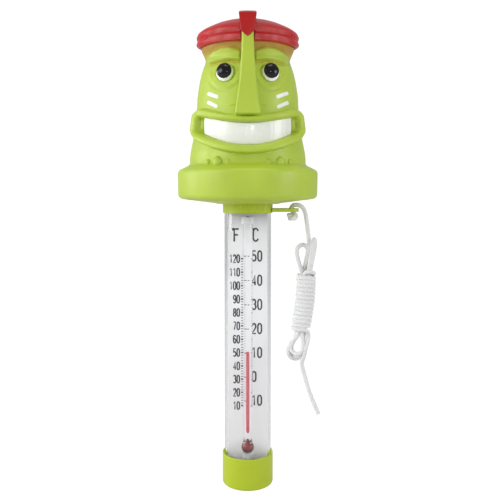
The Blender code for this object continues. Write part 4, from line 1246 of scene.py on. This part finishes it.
class THERMO_OT_print(ThermoOperator):
    """Add the printed numbers, letters and marks of both scales"""

    bl_idname = "thermo.print"
    bl_label = "Scale print"

    def execute(self, context):
        looks = context.scene.thermo_scale
        ink = plain("scale_ink", tuple(looks.ink), 0.6, Specular_IOR_Level=0.25)
        small, large, marks = self.pen(0.40), self.pen(0.48), bmesh.new()
        for degrees in range(10, 130, 10):
            self.word(small, str(degrees), -4.35, self.level(looks, degrees), 4.0, 1.25, 1.9, True)
        for degrees in range(-10, 60, 10):
            level = self.level(looks, degrees * 1.8 + 32)
            self.word(large, str(abs(degrees)), 2.35, level, 5.2, 1.9, 2.95, False)
        letters = -26.6
        self.word(large, "F", -4.75, letters, 6.5, 2.3, 2.3, True)
        self.word(large, "C", 2.85, letters + 0.2, 6.5, 2.6, 2.6, False)
        for middle, up in ((-8.0, 3.1), (1.95, 3.4)):
            self.word(small, "o", middle, letters + up, 0.75, 0.75, 0.75, False)
        for degrees in range(10, 121, 2):
            tall, end = (0.8, -0.42) if degrees % 10 == 0 else (0.34, -0.5)
            self.bar(marks, -3.5, -1.4, self.level(looks, degrees), tall)
            self.bar(marks, -0.85, end, self.level(looks, degrees), tall)
        for degrees in range(-10, 51):
            tall, start, end = (0.45, 0.0, 0.6) if degrees % 10 == 0 else (0.17, 0.1, 0.45)
            self.bar(marks, start, end, self.level(looks, degrees * 1.8 + 32), tall)
        for name, curve in (("fahrenheit_numbers", small), ("celsius_numbers", large)):
            add_piece(name, self.flattened(curve), ink, TUBE, (), 60)
        add_piece("scale_marks", marks, ink, TUBE, (), 40)
        return {"FINISHED"}

    def level(self, looks, fahrenheit):
        return (looks.lowest + (fahrenheit - 10) / 10 * looks.ten_degrees) / MM

    def front(self):
        """The depth of the card's printed face, in millimetres."""
        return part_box("scale_card")[0].y / MM

    def pen(self, half_stroke):
        """A curve that draws strokes of a width, in millimetres."""
        curve = bpy.data.curves.new("strokes", "CURVE")
        curve.dimensions = "3D"
        curve.bevel_depth = half_stroke * MM
        curve.bevel_resolution = 1
        curve.use_fill_caps = True
        return curve

    def word(self, curve, text, edge, level, tall, wide, pitch, leftwards):
        """Writes a word from its left edge, or up to its right edge; the sizes are those of its strokes' middles."""
        start = edge - pitch * (len(text) - 1) - wide if leftwards else edge
        for number, letter in enumerate(text):
            for stroke in GLYPHS[letter]:
                closed = stroke[0] == stroke[-1] and len(stroke) > 4
                points = stroke[:-1] if closed else stroke
                spline = curve.splines.new("POLY")
                spline.points.add(len(points) - 1)
                spline.use_cyclic_u = closed
                for point, (u, v) in zip(spline.points, points):
                    x = start + pitch * number + u * wide
                    point.co = (x * MM, 0.0, (level + (v - 0.5) * tall) * MM, 1.0)

    def flattened(self, curve):
        """The strokes as a mesh, pressed to a thin layer of ink on the card."""
        obj = bpy.data.objects.new("strokes", curve)
        bpy.context.scene.collection.objects.link(obj)
        mesh = evaluated_mesh(obj)
        for vert in mesh.vertices:
            vert.co.y = (self.front() - 0.03) * MM + vert.co.y * 0.1
        return mesh

    def bar(self, bm, start, end, level, tall):
        made = bmesh.ops.create_cube(bm, size=1.0)["verts"]
        bmesh.ops.scale(bm, vec=((end - start) * MM, 0.05 * MM, tall * MM), verts=made)
        place = ((start + end) / 2 * MM, (self.front() - 0.03) * MM, level * MM)
        bmesh.ops.translate(bm, vec=place, verts=made)


def bow(x, y, wide, tall, start, end, count=14):
    """Points on part of an ellipse, with angles in degrees."""
    angles = np.radians(np.linspace(start, end, count))
    return [(round(x + wide * math.cos(a), 4), round(y + tall * math.sin(a), 4)) for a in angles]


# Strokes of the figures and letters in a cell one wide and one tall.
GLYPHS = {
    "0": [bow(0.5, 0.7, 0.5, 0.3, 0, 180) + bow(0.5, 0.3, 0.5, 0.3, 180, 360) + [(1.0, 0.7)]],
    "1": [[(0.12, 0.8), (0.58, 1.0), (0.58, 0.0)]],
    "2": [bow(0.5, 0.72, 0.46, 0.28, 170, -28) + [(0.0, 0.0), (1.0, 0.0)]],
    "3": [bow(0.48, 0.76, 0.42, 0.24, 155, -80) + bow(0.48, 0.27, 0.5, 0.27, 85, -155)],
    "4": [[(0.72, 0.0), (0.72, 1.0), (0.0, 0.27), (1.0, 0.27)]],
    "5": [[(0.92, 1.0), (0.1, 1.0), (0.06, 0.54)] + bow(0.48, 0.31, 0.5, 0.31, 138, -150)],
    "6": [bow(0.5, 0.74, 0.48, 0.26, 25, 180) + [(0.02, 0.3)], bow(0.5, 0.29, 0.48, 0.29, 0, 360, 22)],
    "7": [[(0.0, 1.0), (1.0, 1.0), (0.35, 0.0)]],
    "8": [bow(0.5, 0.76, 0.42, 0.24, 0, 360, 22), bow(0.5, 0.26, 0.48, 0.26, 0, 360, 22)],
    "9": [bow(0.5, 0.26, 0.48, 0.26, 205, 360) + [(0.98, 0.7)], bow(0.5, 0.71, 0.48, 0.29, 0, 360, 22)],
    "F": [[(0.0, 0.0), (0.0, 1.0), (1.0, 1.0)], [(0.0, 0.53), (0.85, 0.53)]],
    "C": [bow(0.5, 0.7, 0.5, 0.3, 20, 180) + bow(0.5, 0.3, 0.5, 0.3, 180, 340)],
    "o": [bow(0.5, 0.5, 0.5, 0.5, 0, 360, 16)],
}


class THERMO_OT_stem(ThermoOperator):
    """Add the glass stem, the liquid in its bulb and the red column up to the reading"""

    bl_idname = "thermo.stem"
    bl_label = "Stem and liquid"

    def execute(self, context):
        looks = context.scene.thermo_scale
        glass = clear_wall("stem_glass", (0.985, 0.995, 0.99), 0.01)
        dye = plain("dyed_liquid", tuple(looks.liquid), 0.12, Coat_Weight=0.3)
        middle, ball, bore = -136.9, 3.5, 2.3
        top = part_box("glass_stem")[1].z / MM
        outside = [(0.0, top), (0.5, top - 0.05), (1.0, top - 0.4), (1.7, top - 1.5), (2.2, top - 2.9),
                   (2.45, top - 4.4), *[(2.45, z) for z in np.linspace(top - 6, -128, 30)],
                   (2.3, -130.0), (2.1, -131.6), (2.05, -132.6), (2.3, -133.8),
                   *arc((0, middle), ball, 44, -90, 16)]
        add_piece("stem_glass", self.moved(spun(outside, 48, False)), glass, TUBE, ("glass_stem",), 50)
        fill = [*arc((0, middle), bore - 0.1, -90, 68, 14), (0.62, -133.9), (0.45, -132.9), (0.3, -132.4),
                (0.0, -132.3)]
        deep = plain("bulb_dye", (0.17, 0.002, 0.004), 0.08, Specular_IOR_Level=0.25)
        add_piece("bulb_fill", self.moved(spun(fill, 32, False)), deep, TUBE, ("bulb_liquid",), 50)
        self.column(dye)
        return {"FINISHED"}

    def column(self, dye):
        """The column from its fixed foot up to the reading."""
        low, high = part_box("liquid_column")
        foot, reading = low.z / MM + 1.8, high.z / MM
        shaft = [(0.57, z) for z in np.linspace(foot + 1.2, reading - 0.4, 80)]
        line = [(0.0, foot), (0.25, foot + 0.05), (0.42, foot + 0.5), *shaft, (0.45, reading - 0.12), (0.25, reading),
                (0.0, reading)]
        column = add_piece("red_column", self.moved(spun(line, 24, False)), dye, None,
                           ("liquid_column",), 50)
        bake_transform(column)

    def moved(self, bm):
        low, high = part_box("liquid_column")
        bmesh.ops.translate(bm, vec=(0, (low.y + high.y) / 2, 0), verts=bm.verts)
        return bm


class THERMO_PT_panel(bpy.types.Panel):
    """Lists the builders in the 3D view's sidebar"""

    bl_idname = "THERMO_PT_panel"
    bl_label = "Pool thermometer"
    bl_space_type = "VIEW_3D"
    bl_region_type = "UI"
    bl_category = "Thermometer"

    def draw(self, context):
        column = self.layout.column(align=True)
        for operator in OPERATORS:
            column.operator(operator.bl_idname)
        for group in SETTINGS:
            box = self.layout.box()
            settings = getattr(context.scene, group)
            for prop in settings.bl_rna.properties:
                if prop.identifier not in {"rna_type", "name"}:
                    box.prop(settings, prop.identifier)


SETTINGS = {
    "thermo_stage": StageSettings,
    "thermo_head": HeadSettings,
    "thermo_hat": HatSettings,
    "thermo_tube": TubeSettings,
    "thermo_scale": ScaleSettings,
    "thermo_cord": CordSettings,
}
OPERATORS = (
    THERMO_OT_stage,
    THERMO_OT_tether,
    THERMO_OT_head,
    THERMO_OT_toes,
    THERMO_OT_eyes,
    THERMO_OT_teeth,
    THERMO_OT_cheek_bars,
    THERMO_OT_hat,
    THERMO_OT_crest,
    THERMO_OT_base,
    THERMO_OT_collar,
    THERMO_OT_tube,
    THERMO_OT_end_cap,
    THERMO_OT_inner_parts,
    THERMO_OT_card,
    THERMO_OT_print,
    THERMO_OT_stem,
)


def register():
    for group, settings in SETTINGS.items():
        bpy.utils.register_class(settings)
        setattr(bpy.types.Scene, group, PointerProperty(type=settings))
    for operator in OPERATORS:
        bpy.utils.register_class(operator)
    bpy.utils.register_class(THERMO_PT_panel)


def unregister():
    bpy.utils.unregister_class(THERMO_PT_panel)
    for operator in reversed(OPERATORS):
        bpy.utils.unregister_class(operator)
    for group, settings in SETTINGS.items():
        delattr(bpy.types.Scene, group)
        bpy.utils.unregister_class(settings)


def main():
    """Builds everything in order."""
    register()
    for operator in OPERATORS:
        group, name = operator.bl_idname.split(".")
        if getattr(getattr(bpy.ops, group), name)() != {"FINISHED"}:
            raise RuntimeError(f"{operator.bl_label} didn't finish")


if __name__ == "__main__":
    main()
